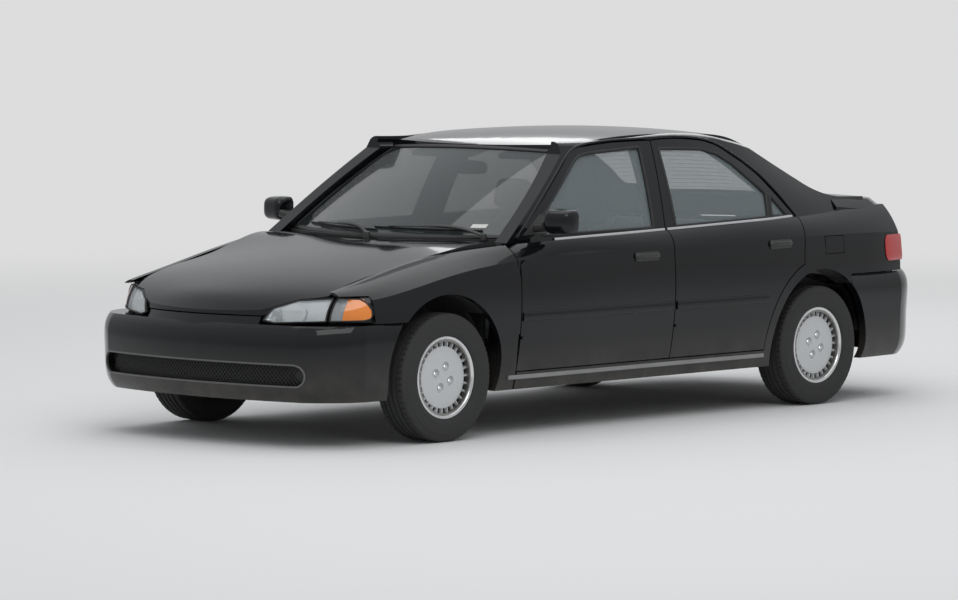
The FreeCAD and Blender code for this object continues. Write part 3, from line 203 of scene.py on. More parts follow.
def smooth_path(points: Sequence[Sequence[float]], count: int) -> Grid:
    """A spline through points, spaced by their distances apart.

    Args:
        points: Rows of coordinates.
        count: How many points to return.

    Returns:
        The resampled rows.
    """
    rows = np.asarray(points, float)
    run = np.concatenate(([0.0], np.cumsum(np.linalg.norm(np.diff(rows, axis=0), axis=1))))
    return spline(run, rows, np.linspace(0.0, run[-1], count))


def lined_path(points: Sequence[Sequence[float]], count: int) -> Grid:
    """Straight runs through points, evenly resampled; same arguments as smooth_path."""
    rows = np.asarray(points, float)
    run = np.concatenate(([0.0], np.cumsum(np.linalg.norm(np.diff(rows, axis=0), axis=1))))
    at = np.linspace(0.0, run[-1], count)
    return np.stack([np.interp(at, run, rows[:, k]) for k in range(rows.shape[1])], 1)


def full_turn(count: int) -> Grid:
    """Evenly spaced angles of one full turn, the last one left out."""
    return np.linspace(0.0, 2.0 * math.pi, count, endpoint=False)


@dataclass
class MeshMaker:
    """Collects grids of points and turns them into one mesh object."""

    name: str
    points: list[Grid] = field(default_factory=list)
    quads: list[Grid] = field(default_factory=list)
    count: int = 0

    def grid(self, rows: Grid, around: bool = False, along: bool = False,
             flip: bool = False) -> "MeshMaker":
        """Adds a grid of points as quads.

        Args:
            rows: Points of shape (n, m, 3).
            around: Whether the last column joins the first.
            along: Whether the last row joins the first.
            flip: Whether to turn the faces round.

        Returns:
            The maker itself.
        """
        n, m = rows.shape[:2]
        index = np.arange(n * m).reshape(n, m) + self.count
        if around:
            index = np.concatenate((index, index[:, :1]), 1)
        if along:
            index = np.concatenate((index, index[:1]), 0)
        a, b, c, d = index[:-1, :-1], index[:-1, 1:], index[1:, 1:], index[1:, :-1]
        faces = np.stack((a, b, c, d) if not flip else (d, c, b, a), -1).reshape(-1, 4)
        self.points.append(rows.reshape(-1, 3))
        self.quads.append(faces)
        self.count += n * m
        return self

    def fan(self, ring: Grid, flip: bool = False) -> "MeshMaker":
        """Closes a ring of points with a fan of narrow rings shrinking to its centre.

        Args:
            ring: Points of the ring.
            flip: Whether to turn the faces round.

        Returns:
            The maker itself.
        """
        centre = ring.mean(0)
        steps = np.array((1.0, 0.5, 0.02))[:, None, None]
        return self.grid(centre + (ring - centre) * steps, around=True, flip=flip)

    def plate(self, ring: Grid, offset: Sequence[float]) -> "MeshMaker":
        """Adds a closed sheet: a ring of points, its copy moved by an offset, and the rim between them.

        Args:
            ring: Points of the ring.
            offset: How far the second face lies from the first.

        Returns:
            The maker itself.
        """
        other = ring + np.asarray(offset)
        return self.grid(np.stack((ring, other)), around=True).fan(ring).fan(other, flip=True)

    def sweep(self, path: Grid, profile: Grid, up: Sequence[float] | Grid, closed: bool = False,
              capped: bool = True) -> "MeshMaker":
        """Carries a closed profile along a path: point = path + a * side + b * normal.

        The tangent is the path's central difference, the normal is `up` made square to it, and the side
        is their cross product.

        Args:
            path: Points of shape (n, 3).
            profile: Closed outline of (a, b) rows, counter-clockwise.
            up: One direction, or one for each path point.
            closed: Whether the path joins its own start.
            capped: Whether an open path's ends are closed.

        Returns:
            The maker itself.
        """
        if closed:
            tangent = np.roll(path, -1, 0) - np.roll(path, 1, 0)
        else:
            tangent = np.gradient(path, axis=0)
        tangent /= np.linalg.norm(tangent, axis=1)[:, None]
        up = np.broadcast_to(np.asarray(up, float), path.shape)
        normal = up - (up * tangent).sum(1)[:, None] * tangent
        normal /= np.linalg.norm(normal, axis=1)[:, None]
        side = np.cross(tangent, normal)
        a, b = profile[None, :, 0, None], profile[None, :, 1, None]
        rows = path[:, None] + a * side[:, None] + b * normal[:, None]
        self.grid(rows, around=True, along=closed)
        if not closed and capped:
            self.fan(rows[0], flip=False)
            self.fan(rows[-1], flip=True)
        return self

    def turned(self, profile: Grid, centre: Sequence[float], sign: float = 1.0,
               steps: int = 96) -> "MeshMaker":
        """Turns a profile of (x, radius) rows about the X axis through a centre.

        Args:
            profile: Rows of (x, radius).
            centre: Point on the axis.
            sign: -1 mirrors the profile's x.
            steps: Segments of the full turn.

        Returns:
            The maker itself.
        """
        angle = full_turn(steps)
        x = np.broadcast_to(profile[None, :, 0] * sign, (steps, len(profile)))
        r = profile[None, :, 1]
        y, z = np.cos(angle)[:, None] * r, np.sin(angle)[:, None] * r
        rows = np.stack((x, y, z), -1) + np.asarray(centre)
        return self.grid(rows, along=True, flip=sign < 0)

    def build(self, finish: "Finish", body: str, merge: float = 2e-5, smooth: float | None = 35.0,
              bevel: float = 0.0, subdivide: int = 0) -> bpy.types.Object:
        """Makes the mesh object, welds its doubles, turns its faces outwards and lets it ride on a body.

        Args:
            finish: The piece's finish.
            body: Name of the body that it rides on.
            merge: Distance under which points are welded.
            smooth: Angle in degrees below which edges are smooth, or None for flat faces.
            bevel: Width of a bevel on sharp edges, or 0.
            subdivide: Levels of subdivision.

        Returns:
            The new object.
        """
        mesh = bpy.data.meshes.new(self.name)
        co = np.concatenate(self.points)
        faces = np.concatenate(self.quads)
        mesh.from_pydata(co.tolist(), [], faces.tolist())
        bm = bmesh.new()
        bm.from_mesh(mesh)
        bmesh.ops.remove_doubles(bm, verts=bm.verts, dist=merge)
        bmesh.ops.dissolve_degenerate(bm, edges=bm.edges, dist=1e-6)
        bmesh.ops.recalc_face_normals(bm, faces=bm.faces)
        bm.to_mesh(mesh)
        bm.free()
        thing = bpy.data.objects.new(self.name, mesh)
        bpy.context.scene.collection.objects.link(thing)
        mesh.materials.append(finish.material())
        if smooth is not None:
            mesh.polygons.foreach_set("use_smooth", np.ones(len(mesh.polygons), bool))
            mesh.set_sharp_from_angle(angle=math.radians(smooth))
        if bevel > 0.0:
            mod = thing.modifiers.new("edge", "BEVEL")
            mod.width, mod.segments, mod.limit_method = bevel, 2, "ANGLE"
            mod.angle_limit = math.radians(40.0)
        if subdivide > 0:
            mod = thing.modifiers.new("round", "SUBSURF")
            mod.levels = mod.render_levels = subdivide
        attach(thing, body)
        LOG.info("%s: %d faces on %s", self.name, len(mesh.polygons), body)
        return thing


def outline_box(width: float, height: float, corner: float, steps: int = 4) -> Grid:
    """Rounded rectangle about the origin, counter-clockwise, each corner a quarter circle.

    Args:
        width: Full width along a.
        height: Full height along b.
        corner: Corner radius.
        steps: Segments of each corner.

    Returns:
        Rows of (a, b).
    """
    turn = np.linspace(0.0, math.pi / 2, steps + 1)
    signs = ((1, 1), (-1, 1), (-1, -1), (1, -1))
    arcs = [np.stack((sx * (width / 2 - corner) + corner * np.cos(turn + k * math.pi / 2),
                      sz * (height / 2 - corner) + corner * np.sin(turn + k * math.pi / 2)), 1)
            for k, (sx, sz) in enumerate(signs)]
    return np.concatenate(arcs)


def outline_round(radius: float, steps: int = 12) -> Grid:
    """Circle of (a, b) rows."""
    turn = full_turn(steps)
    return radius * np.stack((np.cos(turn), np.sin(turn)), 1)


@dataclass(frozen=True)
class Finish:
    """A surface finish: its colour, how it shines, and the noise that varies and roughens it."""

    name: str
    colour: tuple[float, float, float]
    roughness: float = 0.5
    metallic: float = 0.0
    coat: float = 0.0
    alpha: float = 1.0
    transmission: float = 0.0
    vary: float = 0.08
    vary_scale: float = 6.0
    bump: float = 0.05
    bump_scale: float = 300.0
    bump_depth: float = 0.0004
    sheen: float = 0.0
    specular: float = 0.5

    def material(self) -> bpy.types.Material:
        """The finish's material, made once."""
        found = bpy.data.materials.get(self.name)
        if found is not None:
            return found
        made = bpy.data.materials.new(self.name)
        made.use_nodes = True
        tree = made.node_tree
        shader = tree.nodes["Principled BSDF"]
        shader.inputs["Metallic"].default_value = self.metallic
        shader.inputs["Coat Weight"].default_value = self.coat
        shader.inputs["Coat Roughness"].default_value = 0.03
        shader.inputs["Specular IOR Level"].default_value = self.specular
        shader.inputs["Alpha"].default_value = self.alpha
        shader.inputs["Transmission Weight"].default_value = self.transmission
        shader.inputs["Sheen Weight"].default_value = self.sheen
        self.dress(tree, shader)
        return made

    def dress(self, tree: bpy.types.NodeTree, shader: bpy.types.Node) -> None:
        """Adds the colour's and roughness's slow noise and the surface's fine bump.

        Args:
            tree: The material's nodes.
            shader: Its Principled shader.
        """
        place = tree.nodes.new("ShaderNodeTexCoord")
        slow = noise(tree, place, self.vary_scale, 4.0)
        low, high = 1.0 - self.vary, 1.0 + self.vary
        ramp(tree, slow, [(0.3, scaled(self.colour, low)), (0.7, scaled(self.colour, high))],
             shader.inputs["Base Color"])
        rough = tree.nodes.new("ShaderNodeMapRange")
        rough.inputs["To Min"].default_value = max(self.roughness * (1.0 - 1.5 * self.vary), 0.0)
        rough.inputs["To Max"].default_value = min(self.roughness * (1.0 + 1.5 * self.vary), 1.0)
        tree.links.new(slow.outputs["Fac"], rough.inputs["Value"])
        tree.links.new(rough.outputs["Result"], shader.inputs["Roughness"])
        if self.bump > 0.0:
            fine = noise(tree, place, self.bump_scale, 3.0)
            add_bump(tree, shader, fine.outputs["Fac"], self.bump, self.bump_depth)


def scaled(colour: Sequence[float], by: float) -> tuple[float, float, float, float]:
    """A colour times a factor, with full alpha."""
    return tuple(min(c * by, 1.0) for c in colour[:3]) + (1.0,)


def noise(tree: bpy.types.NodeTree, place: bpy.types.Node, scale: float,
          detail: float) -> bpy.types.Node:
    """A noise texture on Object coordinates.

    Args:
        tree: The material's nodes.
        place: Its Texture Coordinate node.
        scale: Noise scale per metre.
        detail: Octaves.

    Returns:
        The noise node.
    """
    node = tree.nodes.new("ShaderNodeTexNoise")
    node.inputs["Scale"].default_value = scale
    node.inputs["Detail"].default_value = detail
    tree.links.new(place.outputs["Object"], node.inputs["Vector"])
    return node


def ramp(tree: bpy.types.NodeTree, source: bpy.types.Node,
         stops: Sequence[tuple[float, Sequence[float]]],
         target: bpy.types.NodeSocket) -> bpy.types.Node:
    """A colour ramp from a node's factor to a socket.

    Args:
        tree: The material's nodes.
        source: Node with a Fac or Value output.
        stops: Positions and colours.
        target: Socket that takes the colour.

    Returns:
        The ramp node.
    """
    node = tree.nodes.new("ShaderNodeValToRGB")
    bar = node.color_ramp
    while len(bar.elements) < len(stops):
        bar.elements.new(0.5)
    for element, (at, colour) in zip(bar.elements, stops):
        element.position, element.color = at, tuple(colour)
    tree.links.new(source.outputs[0], node.inputs["Fac"])
    tree.links.new(node.outputs["Color"], target)
    return node


def add_bump(tree: bpy.types.NodeTree, shader: bpy.types.Node, height: bpy.types.NodeSocket,
             strength: float, depth: float) -> None:
    """Roughens the shader's normal with a height.

    Args:
        tree: The material's nodes.
        shader: The Principled shader.
        height: Socket that gives the height.
        strength: Share of the bump used.
        depth: Height in metres of a full step.
    """
    bump = tree.nodes.new("ShaderNodeBump")
    bump.inputs["Strength"].default_value = strength
    bump.inputs["Distance"].default_value = depth
    tree.links.new(height, bump.inputs["Height"])
    tree.links.new(bump.outputs["Normal"], shader.inputs["Normal"])


# Places of a colour Mix node's two inputs and its result among its sockets
MIX_A, MIX_B, MIX_RESULT = 6, 7, 2


@dataclass(frozen=True)
class PaintFinish(Finish):
    """Body paint under clear coat, with road dust that thickens towards the sills."""

    dust: tuple[float, float, float] = (0.16, 0.145, 0.125)
    dust_top: float = 0.42

    def dress(self, tree: bpy.types.NodeTree, shader: bpy.types.Node) -> None:
        """Mixes dust into the paint by height and noise, and adds a faint orange peel."""
        place = tree.nodes.new("ShaderNodeTexCoord")
        split = tree.nodes.new("ShaderNodeSeparateXYZ")
        tree.links.new(place.outputs["Object"], split.inputs["Vector"])
        fade = tree.nodes.new("ShaderNodeMapRange")
        fade.inputs["From Min"].default_value = self.dust_top
        fade.inputs["From Max"].default_value = 0.16
        fade.inputs["To Max"].default_value = 0.55
        tree.links.new(split.outputs["Z"], fade.inputs["Value"])
        cloud = noise(tree, place, 9.0, 6.0)
        amount = tree.nodes.new("ShaderNodeMath")
        amount.operation = "MULTIPLY"
        tree.links.new(fade.outputs["Result"], amount.inputs[0])
        tree.links.new(cloud.outputs["Fac"], amount.inputs[1])
        mix = tree.nodes.new("ShaderNodeMix")
        mix.data_type = "RGBA"
        mix.inputs[MIX_A].default_value = scaled(self.colour, 1.0)
        mix.inputs[MIX_B].default_value = scaled(self.dust, 1.0)
        tree.links.new(amount.outputs["Value"], mix.inputs[0])
        tree.links.new(mix.outputs[MIX_RESULT], shader.inputs["Base Color"])
        rough = tree.nodes.new("ShaderNodeMapRange")
        rough.inputs["To Min"].default_value = self.roughness
        rough.inputs["To Max"].default_value = 0.75
        tree.links.new(amount.outputs["Value"], rough.inputs["Value"])
        tree.links.new(rough.outputs["Result"], shader.inputs["Roughness"])
        add_bump(tree, shader, noise(tree, place, 260.0, 2.0).outputs["Fac"], 0.04, 0.0003)


PAINT = PaintFinish("gloss_black_paint", (0.0045, 0.005, 0.006), roughness=0.11, coat=0.6,
                    specular=0.10)
GLASS = Finish("window_glass", (0.010, 0.012, 0.012), roughness=0.02, alpha=0.88, coat=0.4,
               specular=0.3, vary=0.02, bump=0.0)
SCREEN = Finish("screen_glass", (0.04, 0.050, 0.052), roughness=0.02, alpha=0.62, coat=0.8, vary=0.02,
                bump=0.0)
CHROME = Finish("bright_trim", (0.72, 0.72, 0.73), roughness=0.16, metallic=1.0, vary=0.05, bump=0.02)
SILVER = Finish("wheel_silver", (0.5, 0.51, 0.52), roughness=0.3, metallic=0.75, coat=0.3, bump=0.02)
RUBBER = Finish("tyre_rubber", (0.018, 0.018, 0.019), roughness=0.72, vary=0.2, bump=0.25,
                bump_scale=420.0)
SEAL = Finish("seal_rubber", (0.012, 0.012, 0.013), roughness=0.5, bump=0.1)
PLASTIC = Finish("black_plastic", (0.016, 0.016, 0.017), roughness=0.42, bump=0.2, bump_scale=900.0)
GRAIN = Finish("cabin_plastic", (0.045, 0.047, 0.05), roughness=0.6, bump=0.35, bump_scale=700.0)
FABRIC = Finish("seat_fabric", (0.13, 0.135, 0.15), roughness=0.9, sheen=0.4, bump=0.5,
                bump_scale=1500.0)
UNDERSEAL = Finish("underseal", (0.02, 0.02, 0.021), roughness=0.8, bump=0.6, bump_scale=160.0,
                   bump_depth=0.001)
STEEL = Finish("plain_steel", (0.3, 0.29, 0.28), roughness=0.45, metallic=0.9, vary=0.25, bump=0.2)
IRON = Finish("cast_metal", (0.12, 0.12, 0.125), roughness=0.6, metallic=0.7, vary=0.2, bump=0.5,
              bump_scale=200.0)
LENS = Finish("clear_lens", (0.7, 0.74, 0.76), roughness=0.05, alpha=0.3, coat=1.0, vary=0.02, bump=0.0)
AMBER = Finish("amber_lens", (0.85, 0.24, 0.02), roughness=0.08, coat=1.0, vary=0.05, bump=0.1)
LENS_CLEAR = Finish("clear_tail_lens", (0.62, 0.6, 0.58), roughness=0.12, coat=1.0, vary=0.03,
                    bump=0.1)
RED = Finish("red_lens", (0.5, 0.012, 0.012), roughness=0.08, coat=1.0, vary=0.05, bump=0.1)
GREY_TRIM = Finish("grey_trim", (0.24, 0.24, 0.24), roughness=0.38, vary=0.1, bump=0.1)
SATIN = Finish("satin_trim", (0.10, 0.10, 0.10), roughness=0.3, vary=0.1, bump=0.1)
LABEL = Finish("blank_label", (0.62, 0.62, 0.60), roughness=0.5, vary=0.04, bump=0.1)
BLANK_PLATE = Finish("blank_plate", (0.60, 0.60, 0.58), roughness=0.35, vary=0.06, bump=0.1)
WIRE = Finish("dull_line", (0.10, 0.075, 0.05), roughness=0.5, vary=0.1, bump=0.05)
MIRROR = Finish("mirror_glass", (0.8, 0.82, 0.83), roughness=0.03, metallic=1.0, vary=0.02, bump=0.0)

NODE_FINISHES: dict[str, Finish] = {
    "windscreen": SCREEN, "rear_window": GLASS, "door_glass": GLASS, "front_lamps": LENS,
    "tail_lamps": RED, "floor_pan": UNDERSEAL, "inner_wings": UNDERSEAL, "radiator": PLASTIC,
    "cowl_panel": PLASTIC, "engine": IRON, "front_suspension": UNDERSEAL,
    "rear_suspension": UNDERSEAL, "knuckle": IRON,
    "fuel_tank": UNDERSEAL, "exhaust": STEEL, "dashboard": GRAIN, "front_seats": FABRIC,
    "rear_seat": FABRIC, "steering_wheel": GRAIN, "tyre": RUBBER, "wheel": SILVER,
}


@dataclass
class NodeDresser:
    """Gives each node of the frame its finish."""

    frame: dict

    def dress(self) -> None:
        """Puts the finish of the longest matching name on every node, and paint on the rest."""
        for name in self.frame["nodes"]:
            fits = [k for k in NODE_FINISHES if name.startswith(k)]
            finish = NODE_FINISHES[max(fits, key=len)] if fits else PAINT
            thing = bpy.data.objects[name]
            for slot in thing.material_slots:
                slot.material = finish.material()
            LOG.info("%s: %s", name, finish.name)


@dataclass
class Studio:
    """The pale floor, the soft lamps and the camera."""

    camera_place: tuple[float, float, float] = (15.4406, -16.9515, 2.0753)
    yaw: float = 42.858
    pitch: float = 3.864
    roll: float = -0.077
    focal_px: float = 4833.1
    frame_px: float = 958.0
    sensor_mm: float = 36.0
    floor_size: float = 60.0
    backdrop: tuple[float, float, float, float] = (0.72, 0.72, 0.72, 1.0)

    def camera(self) -> None:
        """Sets the camera where the photograph was taken from."""
        data = bpy.data.cameras.new("camera")
        data.sensor_width = self.sensor_mm
        data.lens = self.focal_px * self.sensor_mm / self.frame_px
        data.clip_end = 200.0
        thing = bpy.data.objects.new("camera", data)
        thing.location = self.camera_place
        thing.rotation_mode = "XYZ"
        thing.rotation_euler = (math.radians(90.0 - self.pitch), math.radians(self.roll),
                                math.radians(self.yaw))
        bpy.context.scene.collection.objects.link(thing)
        bpy.context.scene.camera = thing

    def lamp(self, name: str, place: Sequence[float], aim: Sequence[float], size: tuple[float, float],
             power: float) -> None:
        """Adds an area lamp.

        Args:
            name: The lamp's name.
            place: Where it hangs.
            aim: Point that it faces.
            size: Width and height.
            power: Watts.
        """
        data = bpy.data.lights.new(name, "AREA")
        data.shape, data.size, data.size_y, data.energy = "RECTANGLE", size[0], size[1], power
        thing = bpy.data.objects.new(name, data)
        thing.location = place
        thing.rotation_euler = (Vector(aim) - Vector(place)).to_track_quat("-Z", "Y").to_euler()
        bpy.context.scene.collection.objects.link(thing)

    def floor(self) -> None:
        """Lays the floor: a pale sheet that, for the camera, fades into the backdrop with distance."""
        half = self.floor_size
        mesh = bpy.data.meshes.new("floor")
        corners = [(-half, -half, 0), (half, -half, 0), (half, half, 0), (-half, half, 0)]
        mesh.from_pydata(corners, [], [(0, 1, 2, 3)])
        thing = bpy.data.objects.new("floor", mesh)
        bpy.context.scene.collection.objects.link(thing)
        made = bpy.data.materials.new("floor")
        made.use_nodes = True
        shader = made.node_tree.nodes["Principled BSDF"]
        shader.inputs["Base Color"].default_value = (0.78, 0.78, 0.78, 1.0)
        shader.inputs["Roughness"].default_value = 0.9
        tree = made.node_tree
        place = tree.nodes.new("ShaderNodeTexCoord")
        far = tree.nodes.new("ShaderNodeVectorMath")
        far.operation = "LENGTH"
        tree.links.new(place.outputs["Object"], far.inputs[0])
        fade = tree.nodes.new("ShaderNodeMapRange")
        fade.interpolation_type = "SMOOTHSTEP"
        fade.inputs["From Min"].default_value = 3.5
        fade.inputs["From Max"].default_value = 14.0
        tree.links.new(far.outputs["Value"], fade.inputs["Value"])
        rays = tree.nodes.new("ShaderNodeLightPath")
        share = tree.nodes.new("ShaderNodeMath")
        share.operation = "MULTIPLY"
        tree.links.new(fade.outputs["Result"], share.inputs[0])
        tree.links.new(rays.outputs["Is Camera Ray"], share.inputs[1])
        glow = tree.nodes.new("ShaderNodeEmission")
        glow.inputs["Color"].default_value = self.backdrop
        mix = tree.nodes.new("ShaderNodeMixShader")
        tree.links.new(share.outputs["Value"], mix.inputs["Fac"])
        tree.links.new(shader.outputs["BSDF"], mix.inputs[1])
        tree.links.new(glow.outputs["Emission"], mix.inputs[2])
        tree.links.new(mix.outputs["Shader"], tree.nodes["Material Output"].inputs["Surface"])
        mesh.materials.append(made)

    def world(self) -> None:
        """A pale sky, lighter overhead, in whose place the camera sees the plain backdrop."""
        scene = bpy.context.scene
        scene.world = bpy.data.worlds.new("sky")
        scene.world.use_nodes = True
        tree = scene.world.node_tree
        back = tree.nodes["Background"]
        place = tree.nodes.new("ShaderNodeTexCoord")
        split = tree.nodes.new("ShaderNodeSeparateXYZ")
        tree.links.new(place.outputs["Generated"], split.inputs["Vector"])
        sky = ramp(tree, split, [(0.0, (0.60, 0.60, 0.60, 1)), (0.10, (0.64, 0.65, 0.66, 1)),
                                 (0.6, (0.82, 0.84, 0.86, 1))], back.inputs["Color"])
        tree.links.new(split.outputs["Z"], sky.inputs["Fac"])
        back.inputs["Strength"].default_value = 0.72
        seen = tree.nodes.new("ShaderNodeBackground")
        seen.inputs["Color"].default_value = self.backdrop
        seen.inputs["Strength"].default_value = 1.0
        rays = tree.nodes.new("ShaderNodeLightPath")
        through = tree.nodes.new("ShaderNodeMath")
        through.operation = "MAXIMUM"
        tree.links.new(rays.outputs["Is Camera Ray"], through.inputs[0])
        tree.links.new(rays.outputs["Is Transmission Ray"], through.inputs[1])
        mix = tree.nodes.new("ShaderNodeMixShader")
        tree.links.new(through.outputs["Value"], mix.inputs["Fac"])
        tree.links.new(back.outputs["Background"], mix.inputs[1])
        tree.links.new(seen.outputs["Background"], mix.inputs[2])
        tree.links.new(mix.outputs["Shader"], tree.nodes["World Output"].inputs["Surface"])

    def build(self) -> None:
        """Makes the whole stage."""
        bpy.context.scene.view_settings.view_transform = "Standard"
        self.camera()
        self.floor()
        self.world()
        self.lamp("key", (6.0, -5.0, 7.0), (0.0, 0.0, 0.6), (7.0, 4.0), 170.0)
        self.lamp("overhead", (0.0, 0.0, 7.5), (0.0, 0.0, 0.0), (7.0, 9.0), 170.0)
        self.lamp("rear", (-4.0, 7.0, 5.0), (0.0, 0.0, 0.7), (6.0, 3.0), 90.0)


# Tyre from the shoulder over the sidewall and the bead to its inside. Columns: x and radius.
TYRE_WALL = np.array((
    (0.0760, 0.2845), (0.0805, 0.2785), (0.0830, 0.2690), (0.0848, 0.2560), (0.0862, 0.2548),
    (0.0875, 0.2340), (0.0875, 0.2300), (0.0868, 0.2290), (0.0860, 0.2120), (0.0868, 0.2105),
    (0.0845, 0.1960), (0.0800, 0.1870), (0.0720, 0.1835), (0.0660, 0.1803), (0.0590, 0.1790),
    (0.0590, 0.1663), (0.0440, 0.1663), (0.0560, 0.2300), (0.0590, 0.2740)))

# Wheel cover from its middle to its lip. Columns: radius and height over the cover's face.
COVER_SECTION = np.array((
    (0.0, 0.008), (0.03, 0.008), (0.07, 0.007), (0.11, 0.0055), (0.132, 0.0035),
    (0.1384, 0.0024), (0.1390, -0.012), (0.1616, -0.012), (0.1622, 0.006), (0.170, 0.020),
    (0.176, 0.0235), (0.182, 0.0235), (0.1855, 0.0205), (0.187, 0.016)))

# Radii of the cover's rings of points, closest where the section bends.
COVER_RADII = np.concatenate((
    np.linspace(0.0005, 0.026, 5), np.linspace(0.028, 0.074, 24), np.linspace(0.080, 0.132, 8),
    (0.1355, 0.1372, 0.1384, 0.1390, 0.1400, 0.145, 0.150, 0.155, 0.160, 0.1616, 0.1622,
     0.1635, 0.166, 0.170, 0.176, 0.182, 0.1855, 0.187)))

# Bright ring on the cover's lip. Columns: radius and height over the cover's face.
LIP_SECTION = np.array((
    (0.1635, 0.006), (0.170, 0.020), (0.176, 0.0235), (0.182, 0.0235), (0.1855, 0.0205)))

# Rim and disc, all round their section. Columns: x and radius.
RIM_SECTION = np.array((
    (-0.070, 0.180), (-0.062, 0.180), (-0.062, 0.166), (-0.028, 0.166), (-0.018, 0.152),
    (0.018, 0.152), (0.028, 0.166), (0.062, 0.166), (0.062, 0.180), (0.070, 0.180),
    (0.070, 0.161), (0.024, 0.161), (0.014, 0.147), (0.014, 0.062), (0.028, 0.058),
    (0.044, 0.030), (0.044, 0.001), (-0.030, 0.001), (-0.030, 0.058), (0.004, 0.062),
    (0.004, 0.147), (-0.014, 0.147), (-0.024, 0.161), (-0.070, 0.161), (-0.070, 0.180)))


def step_down(value: Grid, at: float, width: float) -> Grid:
    """A smooth step, from 1 where a value is below a threshold to 0 where it is above.

    Args:
        value: The values.
        at: The threshold.
        width: Half width of the slope.

    Returns:
        The step at each value.
    """
    return 0.5 * (1.0 - np.tanh((value - at) / width))


@dataclass
class RoadWheel:
    """One wheel: a tyre with its tread and sidewall steps, the rim's barrel, and a slotted cover."""

    corner: str
    side: Side
    axle_y: float
    tyre_radius: float = 0.288
    tread_half: float = 0.071
    crown_drop: float = 0.0016
    grooves: tuple[float, ...] = (-0.043, -0.0145, 0.0145, 0.043)
    groove_half: float = 0.0038
    groove_depth: float = 0.007
    blocks: int = 66
    block_slant: float = 9.0
    block_gap: float = 0.17
    block_depth: float = 0.0052
    shoulder_gap: float = 0.2
    shoulder_depth: float = 0.0036
    face_x: float = 0.053
    ribs: int = 28
    rib_height: float = 0.0135
    slot_inner: float = 0.139
    slot_outer: float = 0.162
    hub_radius: float = 0.022
    hub_height: float = 0.0016
    lug_circle: float = 0.050
    lug_radius: float = 0.0205
    lug_depth: float = 0.012
    lug_phase: float = math.radians(69.0)
    nut_radius: float = 0.0105

    @property
    def centre(self) -> Grid:
        """Middle of the wheel."""
        return np.array((self.side.value * HALF_TRACK, self.axle_y, WHEEL_Z))

    @property
    def body(self) -> str:
        """Name of the body that the wheel is."""
        return "wheel_" + self.corner

    @property
    def lugs(self) -> list[tuple[float, float]]:
        """Y and Z of the four nuts from the axle."""
        turns = [self.lug_phase + k * math.pi / 2 for k in range(4)]
        return [(self.lug_circle * math.cos(a), self.lug_circle * math.sin(a)) for a in turns]

    def tyre(self) -> None:
        """The tyre.

        The outside is a grid of angle by a profile parameter. The profile is the tread's flat crown, a
        rounded shoulder and a bulged sidewall; a radius is lowered in the round grooves and, by a square
        wave of the angle slanted along x, in the cross grooves between the blocks.
        """
        steps = self.blocks * 6
        angle = full_turn(steps)
        edges = sorted(g + k * self.groove_half for g in self.grooves
                       for k in (-1.15, -0.85, 0.85, 1.15))
        across = np.array([-self.tread_half] + edges + [self.tread_half])
        crown = self.crown_drop * (across / self.tread_half) ** 2
        in_groove = np.min(np.abs(across[:, None] - np.array(self.grooves)[None]), 1) < self.groove_half
        radius = self.tyre_radius - crown - np.where(in_groove, self.groove_depth, 0.0)
        turns = angle * self.blocks / (2.0 * math.pi)
        wave = np.mod(turns[:, None] + self.block_slant * across[None], 1.0) < self.block_gap
        outer_rows = (np.abs(across) > 0.044)[None] & ~in_groove[None]
        x = np.concatenate((-TYRE_WALL[::-1, 0], across, TYRE_WALL[:, 0]))
        r = np.concatenate((TYRE_WALL[::-1, 1], radius, TYRE_WALL[:, 1]))
        lowered = np.zeros((steps, len(x)))
        first = len(TYRE_WALL)
        last = first + len(across)
        lowered[:, first:last] = np.where(wave & outer_rows, self.block_depth, 0.0)
        shoulder = np.mod(turns, 1.0) < self.shoulder_gap
        lowered[:, [first - 1, last]] = np.where(shoulder, self.shoulder_depth, 0.0)[:, None]
        r = r[None] - lowered
        y, z = np.cos(angle)[:, None] * r, np.sin(angle)[:, None] * r
        rows = np.stack((np.broadcast_to(x, r.shape), y, z), -1)
        maker = MeshMaker("tyre_tread_" + self.corner)
        maker.grid(rows + self.centre, around=True, along=True)
        piece = maker.build(RUBBER, self.body, smooth=28.0)
        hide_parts("tyre_" + self.corner)

    def cover(self) -> None:
        """The cover.

        The cover is a grid of angle by radius. Its height is a dome, a sunk ring crossed by ribs that
        are a smooth square wave of the angle, and a lip that rises to the tyre. The nut recesses are
        round steps.
        """
        turn = full_turn(self.ribs * 14)
        r = COVER_RADII
        height = np.interp(r, COVER_SECTION[:, 0], COVER_SECTION[:, 1])
        rib = 0.5 + 0.5 * np.tanh(12.0 * (np.cos(self.ribs * turn) - 0.62))
        band = ((r > self.slot_inner - 1e-4) & (r < self.slot_outer)).astype(float)
        y, z = np.cos(turn)[:, None] * r, np.sin(turn)[:, None] * r
        high = height[None] + self.rib_height * rib[:, None] * band[None]
        for lug_y, lug_z in self.lugs:
            near = np.hypot(y - lug_y, z - lug_z)
            high = high - self.lug_depth * step_down(near, self.lug_radius, 0.0009)
        hub = self.hub_height * step_down(r, self.hub_radius, 0.0008)
        rows = np.stack((self.side.value * (self.face_x + high + hub[None]), y, z), -1) + self.centre
        maker = MeshMaker("wheel_cover_" + self.corner)
        maker.grid(rows, along=True)
        maker.build(SILVER, self.body, smooth=50.0)

    def ring(self) -> None:
        """The bright ring on the cover's lip."""
        across = np.array((0.1680, 0.1700, 0.1740, 0.1790, 0.1830, 0.1850))
        crest = np.interp(across, LIP_SECTION[:, 0], LIP_SECTION[:, 1])
        ring = np.stack((self.face_x + crest + 0.0012, across), 1)
        maker = MeshMaker("cover_ring_" + self.corner)
        section = np.concatenate((ring, ring[::-1] - (0.0020, 0.0)))
        maker.turned(section, self.centre, self.side.value, 120)
        maker.build(CHROME, self.body)

